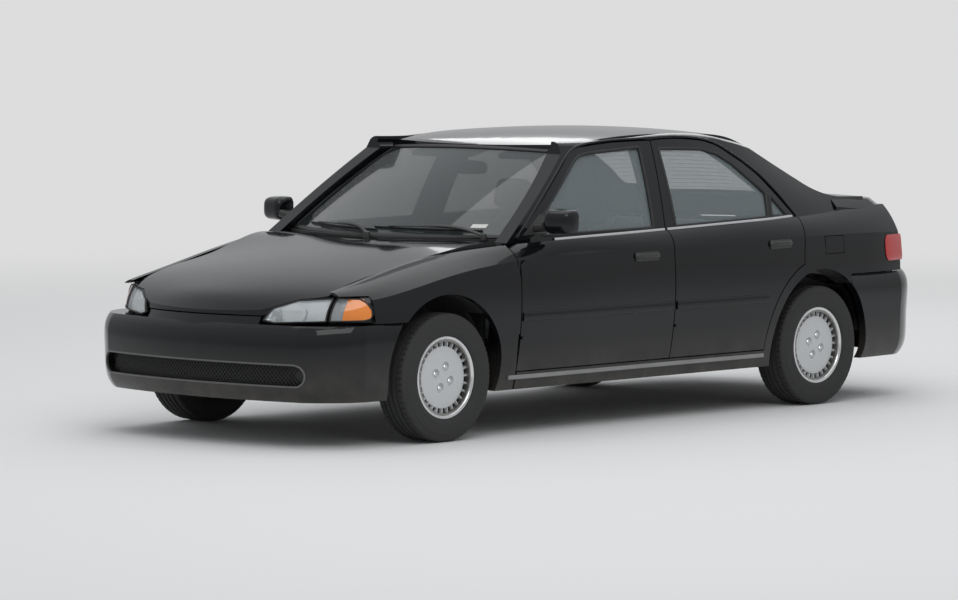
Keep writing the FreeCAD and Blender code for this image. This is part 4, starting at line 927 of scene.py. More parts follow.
    def slot_shade(self) -> None:
        """Painted shade in the cover's slots: a flat dark ring laid on the sunk one, standing for the
        shade seen through the slots.
        """
        # Painted shade: this dark ring stands for the shade down the cover's slots, not for a part of
        # the cover.
        near, far = self.face_x - 0.0105, self.face_x - 0.0115
        floor = np.array(((near, 0.1388), (near, 0.1618), (far, 0.1618), (far, 0.1388)))
        maker = MeshMaker("cover_slots_" + self.corner)
        maker.turned(floor, self.centre, self.side.value, 96)
        maker.build(SEAL, self.body, smooth=None)

    def barrel(self) -> bpy.types.Object:
        """The steel rim with its disc, turned about the axle."""
        maker = MeshMaker("wheel_barrel_" + self.corner)
        maker.turned(RIM_SECTION, self.centre, self.side.value, 96)
        return maker.build(STEEL, self.body)

    def nuts(self) -> None:
        """Four six-sided nuts with chamfered ends."""
        nuts = MeshMaker("wheel_nuts_" + self.corner)
        six = outline_round(self.nut_radius, 6)
        levels = ((-0.006, 1.0), (0.0015, 1.0), (0.0042, 0.72), (0.0045, 0.4))
        for y0, z0 in self.lugs:
            rows = np.stack([np.stack((np.full(6, self.side.value * (self.face_x + rise)),
                                       y0 + size * six[:, 0], z0 + size * six[:, 1]), 1)
                             for rise, size in levels]) + self.centre
            nuts.grid(rows, around=True).fan(rows[0]).fan(rows[-1], flip=True)
        nuts.build(CHROME, self.body, smooth=30.0)

    def build(self) -> None:
        """Makes the tyre, cover, rim and nuts."""
        self.tyre()
        self.cover()
        self.ring()
        self.slot_shade()
        steel = self.barrel()
        self.nuts()
        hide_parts(self.body)


def build_wheels() -> None:
    """Makes the four wheels."""
    for end, y in (("front", FRONT_AXLE_Y), ("rear", REAR_AXLE_Y)):
        for side in Side:
            RoadWheel("%s_%s" % (end, side.word), side, y).build()


@dataclass
class SideTrim:
    """Window seals, belt mouldings, rubbing strips and handles along one side."""

    side: Side
    belt_lift: float = 0.004
    front_door: tuple[float, float] = (-0.640, 0.117)
    rear_door: tuple[float, float] = (0.134, 1.085)
    rub_z: float = 0.536
    front_window: tuple[tuple[float, float], ...] = (
        (-0.706, 0.888), (-0.690, 0.962), (-0.366, 1.204), (-0.320, 1.234), (-0.245, 1.247),
        (-0.060, 1.2565), (0.120, 1.266), (0.050, 0.896))
    rear_window: tuple[tuple[float, float], ...] = (
        (0.207, 0.898), (0.250, 1.256), (0.400, 1.2525), (0.560, 1.246), (0.665, 1.221), (0.761, 1.170),
        (0.841, 1.108), (0.943, 1.027), (0.902, 0.914))
    quarter: tuple[tuple[float, float], ...] = ((0.929, 0.916), (0.970, 1.018), (1.054, 0.918))

    def name(self, word: str) -> str:
        """A piece's name with the side's word."""
        return "%s_%s" % (word, self.side.word)

    def placed(self, x: Grid, y: Grid, z: Grid) -> Grid:
        """Points on this side from the left side's x."""
        return np.stack(np.broadcast_arrays(self.side.value * x, y, z), -1)

    def house_band(self, maker: MeshMaker, ring: Grid, width: float, rise: float) -> None:
        """Adds a rounded band along a closed outline on the greenhouse.

        Args:
            maker: Collector of the mesh.
            ring: Outline of (y, z) rows.
            width: Band width on the glass plane.
            rise: Height above the skin.
        """
        path = self.placed(house_x(ring[:, 0], ring[:, 1]) - 0.005, ring[:, 0], ring[:, 1])
        out = np.broadcast_to(np.array((self.side.value * 0.93, 0.0, 0.37)), path.shape)
        profile = outline_box(width, rise * 2.0, min(width, rise * 2.0) * 0.35, 2)
        maker.sweep(path, profile, out, closed=True)

    def window_seals(self) -> None:
        """Black seals round the side glass, one loop for each pane."""
        for word, body, rings in (("front_window_seal", "door_front_", (self.front_window,)),
                                  ("rear_window_seal", "door_rear_", (self.rear_window, self.quarter))):
            maker = MeshMaker(self.name(word))
            for outline in rings:
                ring = lined_path(outline + outline[:1], 90 if len(outline) > 3 else 42)[:-1]
                self.house_band(maker, ring, 0.014, 0.0085)
            maker.build(SEAL, body + self.side.word, smooth=50.0)

    def belt_mouldings(self) -> None:
        """Bright strips at the foot of the side glass: a half-round profile along the belt."""
        for word, body, (y0, y1) in (("front_belt_moulding", "door_front_", self.front_door),
                                     ("rear_belt_moulding", "door_rear_", self.rear_door)):
            y = np.linspace(y0, y1, 40)
            z = np.interp(y, SIDE_STATIONS[:, 0], SIDE_STATIONS[:, 8]) + self.belt_lift
            path = self.placed(house_x(y, z) + 0.001, y, z)
            maker = MeshMaker(self.name(word))
            maker.sweep(path, outline_box(0.015, 0.012, 0.0045, 3), (self.side.value, 0.0, 0.25))
            maker.build(CHROME, body + self.side.word)

    def rub_strips(self) -> None:
        """Body-coloured rubbing strips low on the flank, with rounded faces and tapered ends."""
        for word, body, y0, y1 in (("front_door_strip", "door_front_", -0.930, 0.112),
                                   ("rear_door_strip", "door_rear_", 0.133, 0.800)):
            y = np.linspace(y0, y1, 48)
            z = np.full_like(y, self.rub_z)
            path = self.placed(flank_x(y, z) + 0.0005, y, z)
            maker = MeshMaker(self.name(word))
            maker.sweep(path, outline_box(0.040, 0.016, 0.006, 3), (self.side.value, 0.0, 0.0))
            maker.build(PAINT, body + self.side.word)

    def handles(self) -> None:
        """Pull handles: a dark recess plate with a curved bar over it, on each door."""
        for word, body, y0, y1, z0 in (("front_handle", "door_front_", -0.158, 0.002, 0.772),
                                       ("rear_handle", "door_rear_", 0.822, 0.978, 0.790)):
            maker = MeshMaker(self.name(word))
            y = np.linspace(y0, y1, 28)
            t = np.linspace(-1.0, 1.0, 28)
            base = flank_x(y, np.full_like(y, z0))
            plate = self.placed(base + 0.0015, y, np.full_like(y, z0))
            maker.sweep(plate, outline_box(0.042, 0.009, 0.003, 2), (self.side.value, 0.0, 0.1))
            lift = 0.020 * (1.0 - np.abs(t) ** 6) + 0.003
            bar = self.placed(base + lift, y, np.full_like(y, z0 + 0.004))
            maker.sweep(bar, outline_box(0.021, 0.011, 0.0045, 3), (self.side.value, 0.0, 0.1))
            maker.build(PLASTIC, body + self.side.word, smooth=45.0)

    def build(self) -> None:
        """Makes every trim of this side."""
        self.window_seals()
        self.belt_mouldings()
        self.rub_strips()
        self.handles()


@dataclass(frozen=True)
class EndForm:
    """A rounded plan outline stacked in height, at the nose or the tail.

    Each level's outline is, from the middle: an arc across the face, an arc round the corner, and a
    straight side. Its points are drawn in along Y and X by amounts that a spline gives for every height.
    """

    plan: tuple[tuple[float, float], ...]
    levels: tuple[tuple[float, float, float], ...]
    face_y: float

    def outline(self, z: float | Grid, inset: float = 0.0, count: int = 60) -> Grid:
        """Points of the outline's +X half at each height.

        Args:
            z: Heights.
            inset: Distance drawn in from the skin.
            count: Points on each of the two arcs.

        Returns:
            Array of shape (heights, points, 2) of (x, y).
        """
        z = np.atleast_1d(np.asarray(z, float))
        rows = np.array(self.levels)
        dy, dx = (spline(rows[:, 0], rows[:, 1:], z) + inset).T
        corner, turn, side, end = self.plan
        p_mid = np.stack((0.0 * dx, dy), 1)
        p_corner = np.stack((corner[0] - dx * 0.5, corner[1] + dy), 1)
        p_turn = np.stack((turn[0] - dx * 0.8, turn[1] + dy * 0.8), 1)
        p_side = np.stack((side[0] - dx, side[1] + dy * 0.5), 1)
        p_end = np.stack((end[0] - dx, 0.0 * dx + end[1]), 1)
        face = self.arc(p_corner * (-1.0, 1.0), p_mid, p_corner, 2 * count)[:, count:]
        corner_arc = self.arc(p_corner, p_turn, p_side, count)[:, 1:]
        t = np.linspace(0.0, 1.0, 12)[None, 1:, None]
        straight = p_side[:, None] * (1.0 - t) + p_end[:, None] * t
        half = np.concatenate((p_mid[:, None], face, corner_arc, straight), 1)
        sign = -1.0 if self.face_y > 0 else 1.0
        return np.stack((half[..., 0], self.face_y + sign * half[..., 1]), -1)

    @staticmethod
    def arc(a: Grid, b: Grid, c: Grid, count: int) -> Grid:
        """Points of the circle through a, b and c, from a to c past b.

        Args:
            a: First points, one for each height.
            b: Middle points.
            c: Last points.
            count: Points on each arc.

        Returns:
            Array of shape (heights, count, 2).
        """
        ab, ac = b - a, c - a
        cross = 2.0 * (ab[:, 0] * ac[:, 1] - ab[:, 1] * ac[:, 0])
        ab2, ac2 = (ab ** 2).sum(1), (ac ** 2).sum(1)
        offset = np.stack((ac[:, 1] * ab2 - ab[:, 1] * ac2, ab[:, 0] * ac2 - ac[:, 0] * ab2), 1)
        centre = a + offset / cross[:, None]
        radius = np.linalg.norm(a - centre, axis=1)
        start = np.arctan2(*(a - centre).T[::-1])
        turn = np.sign(cross)
        sweep = np.mod(turn * (np.arctan2(*(c - centre).T[::-1]) - start), 2.0 * math.pi)
        angle = start[:, None] + turn[:, None] * sweep[:, None] * np.linspace(0.0, 1.0, count)[None]
        return centre[:, None] + radius[:, None, None] * np.stack((np.cos(angle), np.sin(angle)), -1)

    def patch(self, low: Grid, high: Grid, start: tuple[str, float], stop: tuple[str, float], rows: int,
              inset: float = 0.0) -> Grid:
        """A patch of the form between two heights that vary along the outline.

        Args:
            low: Lower heights of (share, z) rows.
            high: Upper heights of (share, z) rows.
            start: Where the patch starts on the outline, as ("x" or "y", value).
            stop: Where it ends.
            rows: Points along and up, as one count for both.
            inset: Distance drawn in from the skin.

        Returns:
            Array of shape (rows, rows, 3) on the +X side.
        """
        u, v = np.linspace(0.0, 1.0, rows), np.linspace(0.0, 1.0, rows)
        z0 = np.interp(u, low[:, 0], low[:, 1])
        z1 = np.interp(u, high[:, 0], high[:, 1])
        z = z0[:, None] * (1.0 - v) + z1[:, None] * v
        levels = np.linspace(z.min(), z.max(), 24)
        rings = self.outline(levels, inset, 80)
        steps = np.linalg.norm(np.diff(rings, axis=1), axis=2)
        run = np.concatenate((np.zeros((24, 1)), np.cumsum(steps, axis=1)), 1)
        at = np.zeros((24, rows, 2))
        for i, ring in enumerate(rings):
            ends = []
            for key, value in (start, stop):
                column = ring[:, 0] if key == "x" else ring[:, 1]
                order = np.argsort(column)
                ends.append(np.interp(value, column[order], run[i][order]))
            here = ends[0] + (ends[1] - ends[0]) * u
            at[i] = np.stack((np.interp(here, run[i], ring[:, 0]),
                              np.interp(here, run[i], ring[:, 1])), 1)
        k = (z - levels[0]) / max(levels[1] - levels[0], 1e-9)
        i = np.clip(k.astype(int), 0, 22)
        f = (k - i)[..., None]
        col = np.arange(rows)[:, None]
        xy = at[i, col] * (1.0 - f) + at[i + 1, col] * f
        return np.concatenate((xy, z[..., None]), -1)


NOSE = EndForm(((0.500, 0.118), (0.690, 0.238), (0.783, 0.338), (0.822, 0.640)),
               ((0.520, 0.024, 0.005), (0.600, 0.040, 0.008), (0.680, 0.100, 0.014)), FRONT_FACE_Y)
FRONT_BUMPER = EndForm(((0.600, 0.072), (0.728, 0.172), (0.798, 0.305), (0.822, 0.640)),
                       ((0.205, 0.042, 0.030), (0.262, 0.010, 0.008), (0.420, 0.0, 0.0),
                        (0.515, 0.014, 0.004), (0.541, 0.034, 0.012)), FRONT_FACE_Y)
TAIL = EndForm(((0.480, 0.038), (0.690, 0.160), (0.806, 0.330), (0.836, 0.740)),
               ((0.624, 0.044, 0.008), (0.760, 0.052, 0.016), (0.870, 0.074, 0.056),
                (0.940, 0.122, 0.110), (1.010, 0.220, 0.190)), REAR_FACE_Y)


def on_side(rows: Grid, side: Side) -> Grid:
    """Points of the +X side brought to a side.

    Args:
        rows: Points of the left side.
        side: The side.

    Returns:
        The points, mirrored where the side is the right one.
    """
    return rows * np.array((side.value, 1.0, 1.0))


def edge_pairs(a: Grid, b: Grid) -> tuple[tuple[Grid, Grid], ...]:
    """The four edges of one grid, each beside the same edge of another."""
    return (a[0], b[0]), (a[-1], b[-1]), (a[:, 0], b[:, 0]), (a[:, -1], b[:, -1])


def border_of(rows: Grid) -> Grid:
    """The closed ring of points round the edge of a grid."""
    return np.concatenate((rows[:, 0], rows[-1, 1:], rows[-2::-1, -1], rows[0, -2:0:-1]))


def shell_between(maker: MeshMaker, outer: Grid, inner: Grid, side: Side = Side.LEFT) -> MeshMaker:
    """Adds a closed shell between two grids of one shape: both faces and the rims that join their edges.

    Args:
        maker: Collector of the mesh.
        outer: Outer points on the left side.
        inner: Inner points on the left side.
        side: Side that the shell is brought to.

    Returns:
        The maker.
    """
    outer, inner = on_side(outer, side), on_side(inner, side)
    maker.grid(outer)
    maker.grid(inner, flip=True)
    for a, b in edge_pairs(outer, inner):
        maker.grid(np.stack((a, b)))
    return maker


@dataclass
class FrontLamps:
    """Headlamp and corner lamp of one side: fluted lens, reflector and black housing."""

    side: Side
    head_low: tuple[tuple[float, float], ...] = ((0.0, 0.557), (0.18, 0.547), (1.0, 0.557))
    head_high: tuple[tuple[float, float], ...] = ((0.0, 0.560), (0.06, 0.587), (0.12, 0.611),
                                                  (0.47, 0.645), (1.0, 0.656))
    corner_low: tuple[tuple[float, float], ...] = ((0.0, 0.557), (0.8, 0.561), (0.93, 0.567),
                                                   (1.0, 0.580))
    corner_high: tuple[tuple[float, float], ...] = ((0.0, 0.658), (0.72, 0.655), (0.86, 0.643),
                                                    (0.95, 0.625), (1.0, 0.605))
    bulb: tuple[float, float] = (0.520, 0.602)

    def lens(self, word: str, low: Grid, high: Grid, start: tuple[str, float], stop: tuple[str, float],
             flutes: int, finish: Finish) -> bpy.types.Object:
        """A lens 3 mm thick whose back is fluted by a cosine along its length.

        Args:
            word: The piece's name.
            low: Lower edge.
            high: Upper edge.
            start: Where it starts.
            stop: Where it ends.
            flutes: Number of ribs.
            finish: Its finish.

        Returns:
            The lens.
        """
        outer = NOSE.patch(low, high, start, stop, 90, 0.001)
        inner = NOSE.patch(low, high, start, stop, 90, 0.0045)
        u = np.linspace(0.0, 1.0, 90)[:, None]
        flute = 0.0012 * (1.0 - np.cos(2.0 * math.pi * flutes * u))
        inner[..., 1] += flute
        maker = MeshMaker("%s_%s" % (word, self.side.word))
        shell_between(maker, outer, inner, self.side)
        return maker.build(finish, "body")

    def reflector(self) -> bpy.types.Object:
        """A bright bowl behind the headlamp's lens: depth falls off as a paraboloid from the bulb."""
        low, high = np.array(self.head_low), np.array(self.head_high)
        rim = NOSE.patch(low, high, ("x", 0.384), ("x", 0.626), 48, 0.008)
        y0 = -2.030
        far = np.hypot((rim[..., 0] - self.bulb[0]) / 1.3, rim[..., 2] - self.bulb[1])
        depth = y0 + 0.035 * (1.0 - np.clip(far / 0.075, 0.0, 1.0) ** 2)
        u = np.abs(np.linspace(-1, 1, 48))
        lip = np.clip((1.0 - np.maximum.outer(u, u)) / 0.08, 0.0, 1.0)
        bowl = rim.copy()
        bowl[..., 1] = rim[..., 1] * (1.0 - lip) + np.maximum(depth, rim[..., 1] + 0.004) * lip
        back = bowl + np.array((0.0, 0.0025, 0.0))
        maker = MeshMaker("headlamp_reflector_%s" % self.side.word)
        shell_between(maker, bowl, back, self.side)
        return maker.build(MIRROR, "body", smooth=40.0)

    def housings(self) -> None:
        """Black rims round both lenses and the closed backs of the lamps."""
        head = (np.array(self.head_low), np.array(self.head_high), ("x", 0.3755), ("x", 0.6335))
        corner = (np.array(self.corner_low), np.array(self.corner_high), ("x", 0.6465), ("y", -1.828))
        for word, (low, high, start, stop) in (("headlamp", head), ("corner_lamp", corner)):
            rows = NOSE.patch(low, high, start, stop, 60, 0.004)
            edge = border_of(rows)
            out = np.broadcast_to(np.array((0.35, -0.94, 0.0)), edge.shape)
            maker = MeshMaker("%s_rim_%s" % (word, self.side.word))
            maker.sweep(on_side(edge, self.side), outline_box(0.0075, 0.012, 0.002, 2),
                        on_side(out, self.side), closed=True)
            front = NOSE.patch(low, high, start, stop, 30, 0.047)
            back = NOSE.patch(low, high, start, stop, 30, 0.056)
            shell_between(maker, front, back, self.side)
            rim = NOSE.patch(low, high, start, stop, 30, 0.008)
            for a, b in edge_pairs(rim, front):
                maker.grid(on_side(np.stack((a, b)), self.side))
            maker.build(SEAL, "body", smooth=40.0)

    def filler(self) -> None:
        """A painted sheet behind the corner lamp's tapered end, a little under the skin."""
        low, high = np.array(((0.0, 0.553), (1.0, 0.553))), np.array(((0.0, 0.660), (1.0, 0.660)))
        outer = NOSE.patch(low, high, ("y", -1.905), ("y", -1.824), 24, 0.007)
        inner = NOSE.patch(low, high, ("y", -1.905), ("y", -1.824), 24, 0.010)
        maker = MeshMaker("corner_filler_%s" % self.side.word)
        shell_between(maker, outer, inner, self.side)
        maker.build(PAINT, "body")

    def build(self) -> None:
        """Makes the lamps of this side."""
        low, high = np.array(self.head_low), np.array(self.head_high)
        self.lens("headlamp_lens", low, high, ("x", 0.377), ("x", 0.632), 22, LENS)
        low, high = np.array(((0.0, 0.557), (1.0, 0.5585))), np.array(((0.0, 0.658), (1.0, 0.657)))
        self.lens("corner_lens_clear", low, high, ("x", 0.648), ("x", 0.690), 5, LENS)
        low = np.array(((0.0, 0.5585), (0.75, 0.561), (0.91, 0.567), (1.0, 0.580)))
        high = np.array(((0.0, 0.657), (0.68, 0.655), (0.83, 0.643), (0.94, 0.625), (1.0, 0.605)))
        self.lens("corner_lens_amber", low, high, ("x", 0.691), ("y", -1.829), 14, AMBER)
        self.filler()
        self.reflector()
        self.housings()


@dataclass
class TailLamps:
    """Tail lamp of one side: red outer part, amber turn signal and clear reversing part."""

    side: Side
    low: tuple[tuple[float, float], ...] = ((0.0, 0.672), (1.0, 0.672))
    high: tuple[tuple[float, float], ...] = ((0.0, 0.832), (0.5, 0.827), (0.88, 0.812), (1.0, 0.800))

    def side_lens(self) -> None:
        """The red lens's leading part: a thin plate on the flank whose front end curves."""
        u = np.linspace(0.0, 1.0, 30)[:, None]
        v = np.linspace(0.0, 1.0, 16)[None]
        y = 1.742 + 0.159 * u + 0.022 * (2.0 * v - 1.0) ** 4 * (1.0 - u)
        z = 0.674 + (0.800 - 0.674) * v + 0.0 * u
        x = flank_x(y, z)
        crown = 0.0030 * (1.0 - (2.0 * v - 1.0) ** 6) * (1.0 - (1.0 - u) ** 8)
        maker = MeshMaker("tail_lens_side_%s" % self.side.word)
        outer = np.stack((x + 0.0008 + crown, y, z), -1)
        shell_between(maker, outer, np.stack((x - 0.001, y, z), -1), self.side)
        maker.build(RED, "body", smooth=50.0)

    def build(self) -> None:
        """Makes the lens parts and their dark seal."""
        low, high = np.array(self.low), np.array(self.high)
        parts = (("tail_lens_reverse", ("x", 0.4325), ("x", 0.530), LENS_CLEAR),
                 ("tail_lens_turn", ("x", 0.5325), ("x", 0.640), AMBER),
                 ("tail_lens_red", ("x", 0.6425), ("y", 1.903), RED))
        full = (("x", 0.4325), ("y", 1.903))
        for word, start, stop, finish in parts:
            outer = TAIL.patch(low, high, start, stop, 60, 0.0005)
            u = np.linspace(0.0, 1.0, 60)
            inner = TAIL.patch(low, high, start, stop, 60, 0.020)
            wave = 0.0006 * np.cos(2.0 * math.pi * 14.0 * u)[None, :, None] * np.array((0.0, 1.0, 0.0))
            maker = MeshMaker("%s_%s" % (word, self.side.word))
            shell_between(maker, outer - wave, inner, self.side)
            maker.build(finish, "body")
        self.side_lens()
        rows = TAIL.patch(low, high, full[0], full[1], 70, 0.005)
        edge = border_of(rows)
        maker = MeshMaker("tail_lamp_seal_%s" % self.side.word)
        out = np.broadcast_to(np.array((0.35, 0.94, 0.0)), edge.shape)
        maker.sweep(on_side(edge, self.side), outline_box(0.007, 0.013, 0.002, 2),
                    on_side(out, self.side), closed=True)
        front = TAIL.patch(low, high, full[0], full[1], 30, 0.024)
        back = TAIL.patch(low, high, full[0], full[1], 30, 0.058)
        shell_between(maker, front, back, self.side)
        maker.build(SEAL, "body", smooth=40.0)


def build_lamps() -> None:
    """Makes all lamps and stands them in for the plain lamp bodies."""
    for side in Side:
        FrontLamps(side).build()
        TailLamps(side).build()
    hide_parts("front_lamps")
    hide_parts("tail_lamps")


@dataclass
class DoorMirror:
    """Door mirror of one side: a rounded shell, its glass, its foot and the black sail behind it."""

    side: Side
    inner_x: float = 0.836
    outer_x: float = 0.983
    back_y: float = -0.708
    depth: float = 0.098
    low_z: float = 0.902
    high_z: float = 1.016
    square: float = 0.58
    glass_x: float = 0.909
    glass_size: tuple[float, float] = (0.126, 0.090)
    foot_path: tuple[tuple[float, float, float], ...] = (
        (0.778, -0.752, 0.925), (0.815, -0.758, 0.930), (0.850, -0.764, 0.940))
    sail_yz: tuple[tuple[float, float], ...] = (
        (-0.838, 0.893), (-0.690, 0.897), (-0.664, 0.905), (-0.672, 0.980), (-0.690, 0.986))

    @property
    def body(self) -> str:
        """Name of the body that the mirror rides on."""
        return "door_front_" + self.side.word

    @property
    def middle_z(self) -> float:
        """Height of the shell's middle."""
        return (self.low_z + self.high_z) / 2

    def shell(self) -> bpy.types.Object:
        """The shell.

        It is a grid of u along X and v around it: a superellipse in Y and Z, bulged ahead and nearly
        flat behind, whose size falls off towards both ends as a root of 1 - |u| to the sixth.
        """
        u = np.linspace(-1.0, 1.0, 44)[:, None]
        v = full_turn(64)[None]
        size = np.maximum(1.0 - np.abs(u) ** 6, 0.0) ** 0.4
        c, s = np.cos(v), np.sin(v)
        ahead = np.sign(c) * np.abs(c) ** self.square
        up = np.sign(s) * np.abs(s) ** self.square
        half = (self.high_z - self.low_z) / 2
        x = (self.inner_x + self.outer_x) / 2 + u * (self.outer_x - self.inner_x) / 2 + 0.0 * v
        y = self.back_y + np.where(c > 0.0, 0.010 * ahead, self.depth * (0.86 - 0.14 * u) * ahead) * size
        z = self.middle_z + half * up * size * (1.0 - 0.05 * u)
        maker = MeshMaker("mirror_shell_" + self.side.word)
        maker.grid(on_side(np.stack((x, y, z), -1), self.side), around=True)
        return maker.build(PAINT, self.body, smooth=60.0)

    def glass(self) -> None:
        """The mirror glass: a rounded sheet on the shell's rear face."""
        ring = outline_box(*self.glass_size, 0.022, 6)
        y = np.full(len(ring), self.back_y + 0.0095)
        flat = np.stack((ring[:, 0] + self.glass_x, y, ring[:, 1] + self.middle_z), 1)
        maker = MeshMaker("mirror_glass_" + self.side.word)
        maker.plate(on_side(flat, self.side), (0.0, 0.0035, 0.0))
        maker.build(MIRROR, self.body, smooth=30.0)

    def foot(self) -> None:
        """The short foot between the door and the shell."""
        path = smooth_path(self.foot_path, 12)
        maker = MeshMaker("mirror_foot_" + self.side.word)
        maker.sweep(on_side(path, self.side), outline_box(0.070, 0.034, 0.012, 4), (0.0, 0.0, 1.0))
        maker.build(PLASTIC, self.body, smooth=50.0)

    def sail(self) -> None:
        """The black sail: a sheet on the greenhouse ahead of the front door's glass."""
        ring = lined_path(self.sail_yz + self.sail_yz[:1], 41)[:-1]
        skin = np.stack((house_x(ring[:, 0], ring[:, 1]) - 0.004, ring[:, 0], ring[:, 1]), 1)
        maker = MeshMaker("mirror_sail_" + self.side.word)
        maker.plate(on_side(skin, self.side), (self.side.value * 0.0075, 0.0, 0.002))
        maker.build(PLASTIC, self.body, smooth=30.0)

    def build(self) -> None:
        """Makes the shell, glass, foot and sail."""
        shell = self.shell()
        self.glass()
        self.foot()
        self.sail()
        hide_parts("mirror_" + self.side.word)


@dataclass(frozen=True)
class Pane:
    """A curved pane whose rows, from the bottom up, are circular arcs across the car.

    A row gives its half width, y and z at the side, and y and z at the middle.
    """

    rows: tuple[tuple[float, float, float, float, float], ...]
    outward: float

    def at(self, s: Grid, t: Grid, lift: float = 0.0) -> Grid:
        """Points of the outer face, each row being a circular arc through its middle and its two ends.

        Args:
            s: Places across, from -1 to 1.
            t: Places up, from 0 at the lowest row to 2 at the highest.
            lift: Height above the face.

        Returns:
            Rows of points.
        """
        s, t = np.broadcast_arrays(np.asarray(s, float), np.asarray(t, float))
        points = self.face(s.ravel(), t.ravel())
        return points + lift * self.normal(s.ravel(), t.ravel())

    def face(self, s: Grid, t: Grid) -> Grid:
        """Points of the face itself.

        The share of the way from the row's middle to its ends is that of a circle's sagitta at s.

        Args:
            s: Places across.
            t: Places up.

        Returns:
            Rows of points.
        """
        half, y_side, z_side, y_mid, z_mid = spline(np.arange(3.0), np.array(self.rows), t).T
        rise = np.hypot(y_side - y_mid, z_side - z_mid)
        radius = (half ** 2 + rise ** 2) / (2.0 * rise)
        share = (radius - np.sqrt(radius ** 2 - (half * s) ** 2)) / rise
        y, z = y_mid + (y_side - y_mid) * share, z_mid + (z_side - z_mid) * share
        return np.stack((half * s, y, z), 1)

    def normal(self, s: Grid, t: Grid) -> Grid:
        """Unit normals from the cross product of central differences along s and t.

        Args:
            s: Places across.
            t: Places up.

        Returns:
            One unit vector for each place.
        """
        step = 1e-3
        across = self.face(s + step, t) - self.face(s - step, t)
        upward = self.face(s, np.minimum(t + step, 2.0)) - self.face(s, np.maximum(t - step, 0.0))
        out = np.cross(across, upward) * self.outward
        return out / np.linalg.norm(out, axis=1)[:, None]

    def border(self, inset_s: float, inset_t: float, count: int = 60) -> tuple[Grid, Grid]:
        """Places of a closed loop that runs inside the pane's edges.

        Args:
            inset_s: Distance from the side edges, as a share of the half width.
            inset_t: Distance from the lower and upper edges, in rows.
            count: Points on each of the four runs.

        Returns:
            The loop's s and t.
        """
        edge = 1.0 - inset_s
        low, high = inset_t, 2.0 - inset_t
        across, up = np.linspace(-edge, edge, count), np.linspace(low, high, count)
        s = np.concatenate((across[:-1], np.full(count - 1, edge), across[::-1][:-1],
                            np.full(count - 1, -edge)))
        t = np.concatenate((np.full(count - 1, low), up[:-1], np.full(count - 1, high), up[::-1][:-1]))
        return s, t


WINDSCREEN = Pane(((0.702, -0.842, 0.880, -1.050, 0.872), (0.634, -0.560, 1.088, -0.708, 1.092),
                   (0.540, -0.318, 1.256, -0.388, 1.270)), 1.0)
BACKLIGHT = Pane(((0.640, 1.488, 0.970, 1.540, 0.990), (0.592, 1.215, 1.103, 1.264, 1.126),
                  (0.534, 0.925, 1.248, 0.962, 1.266)), -1.0)


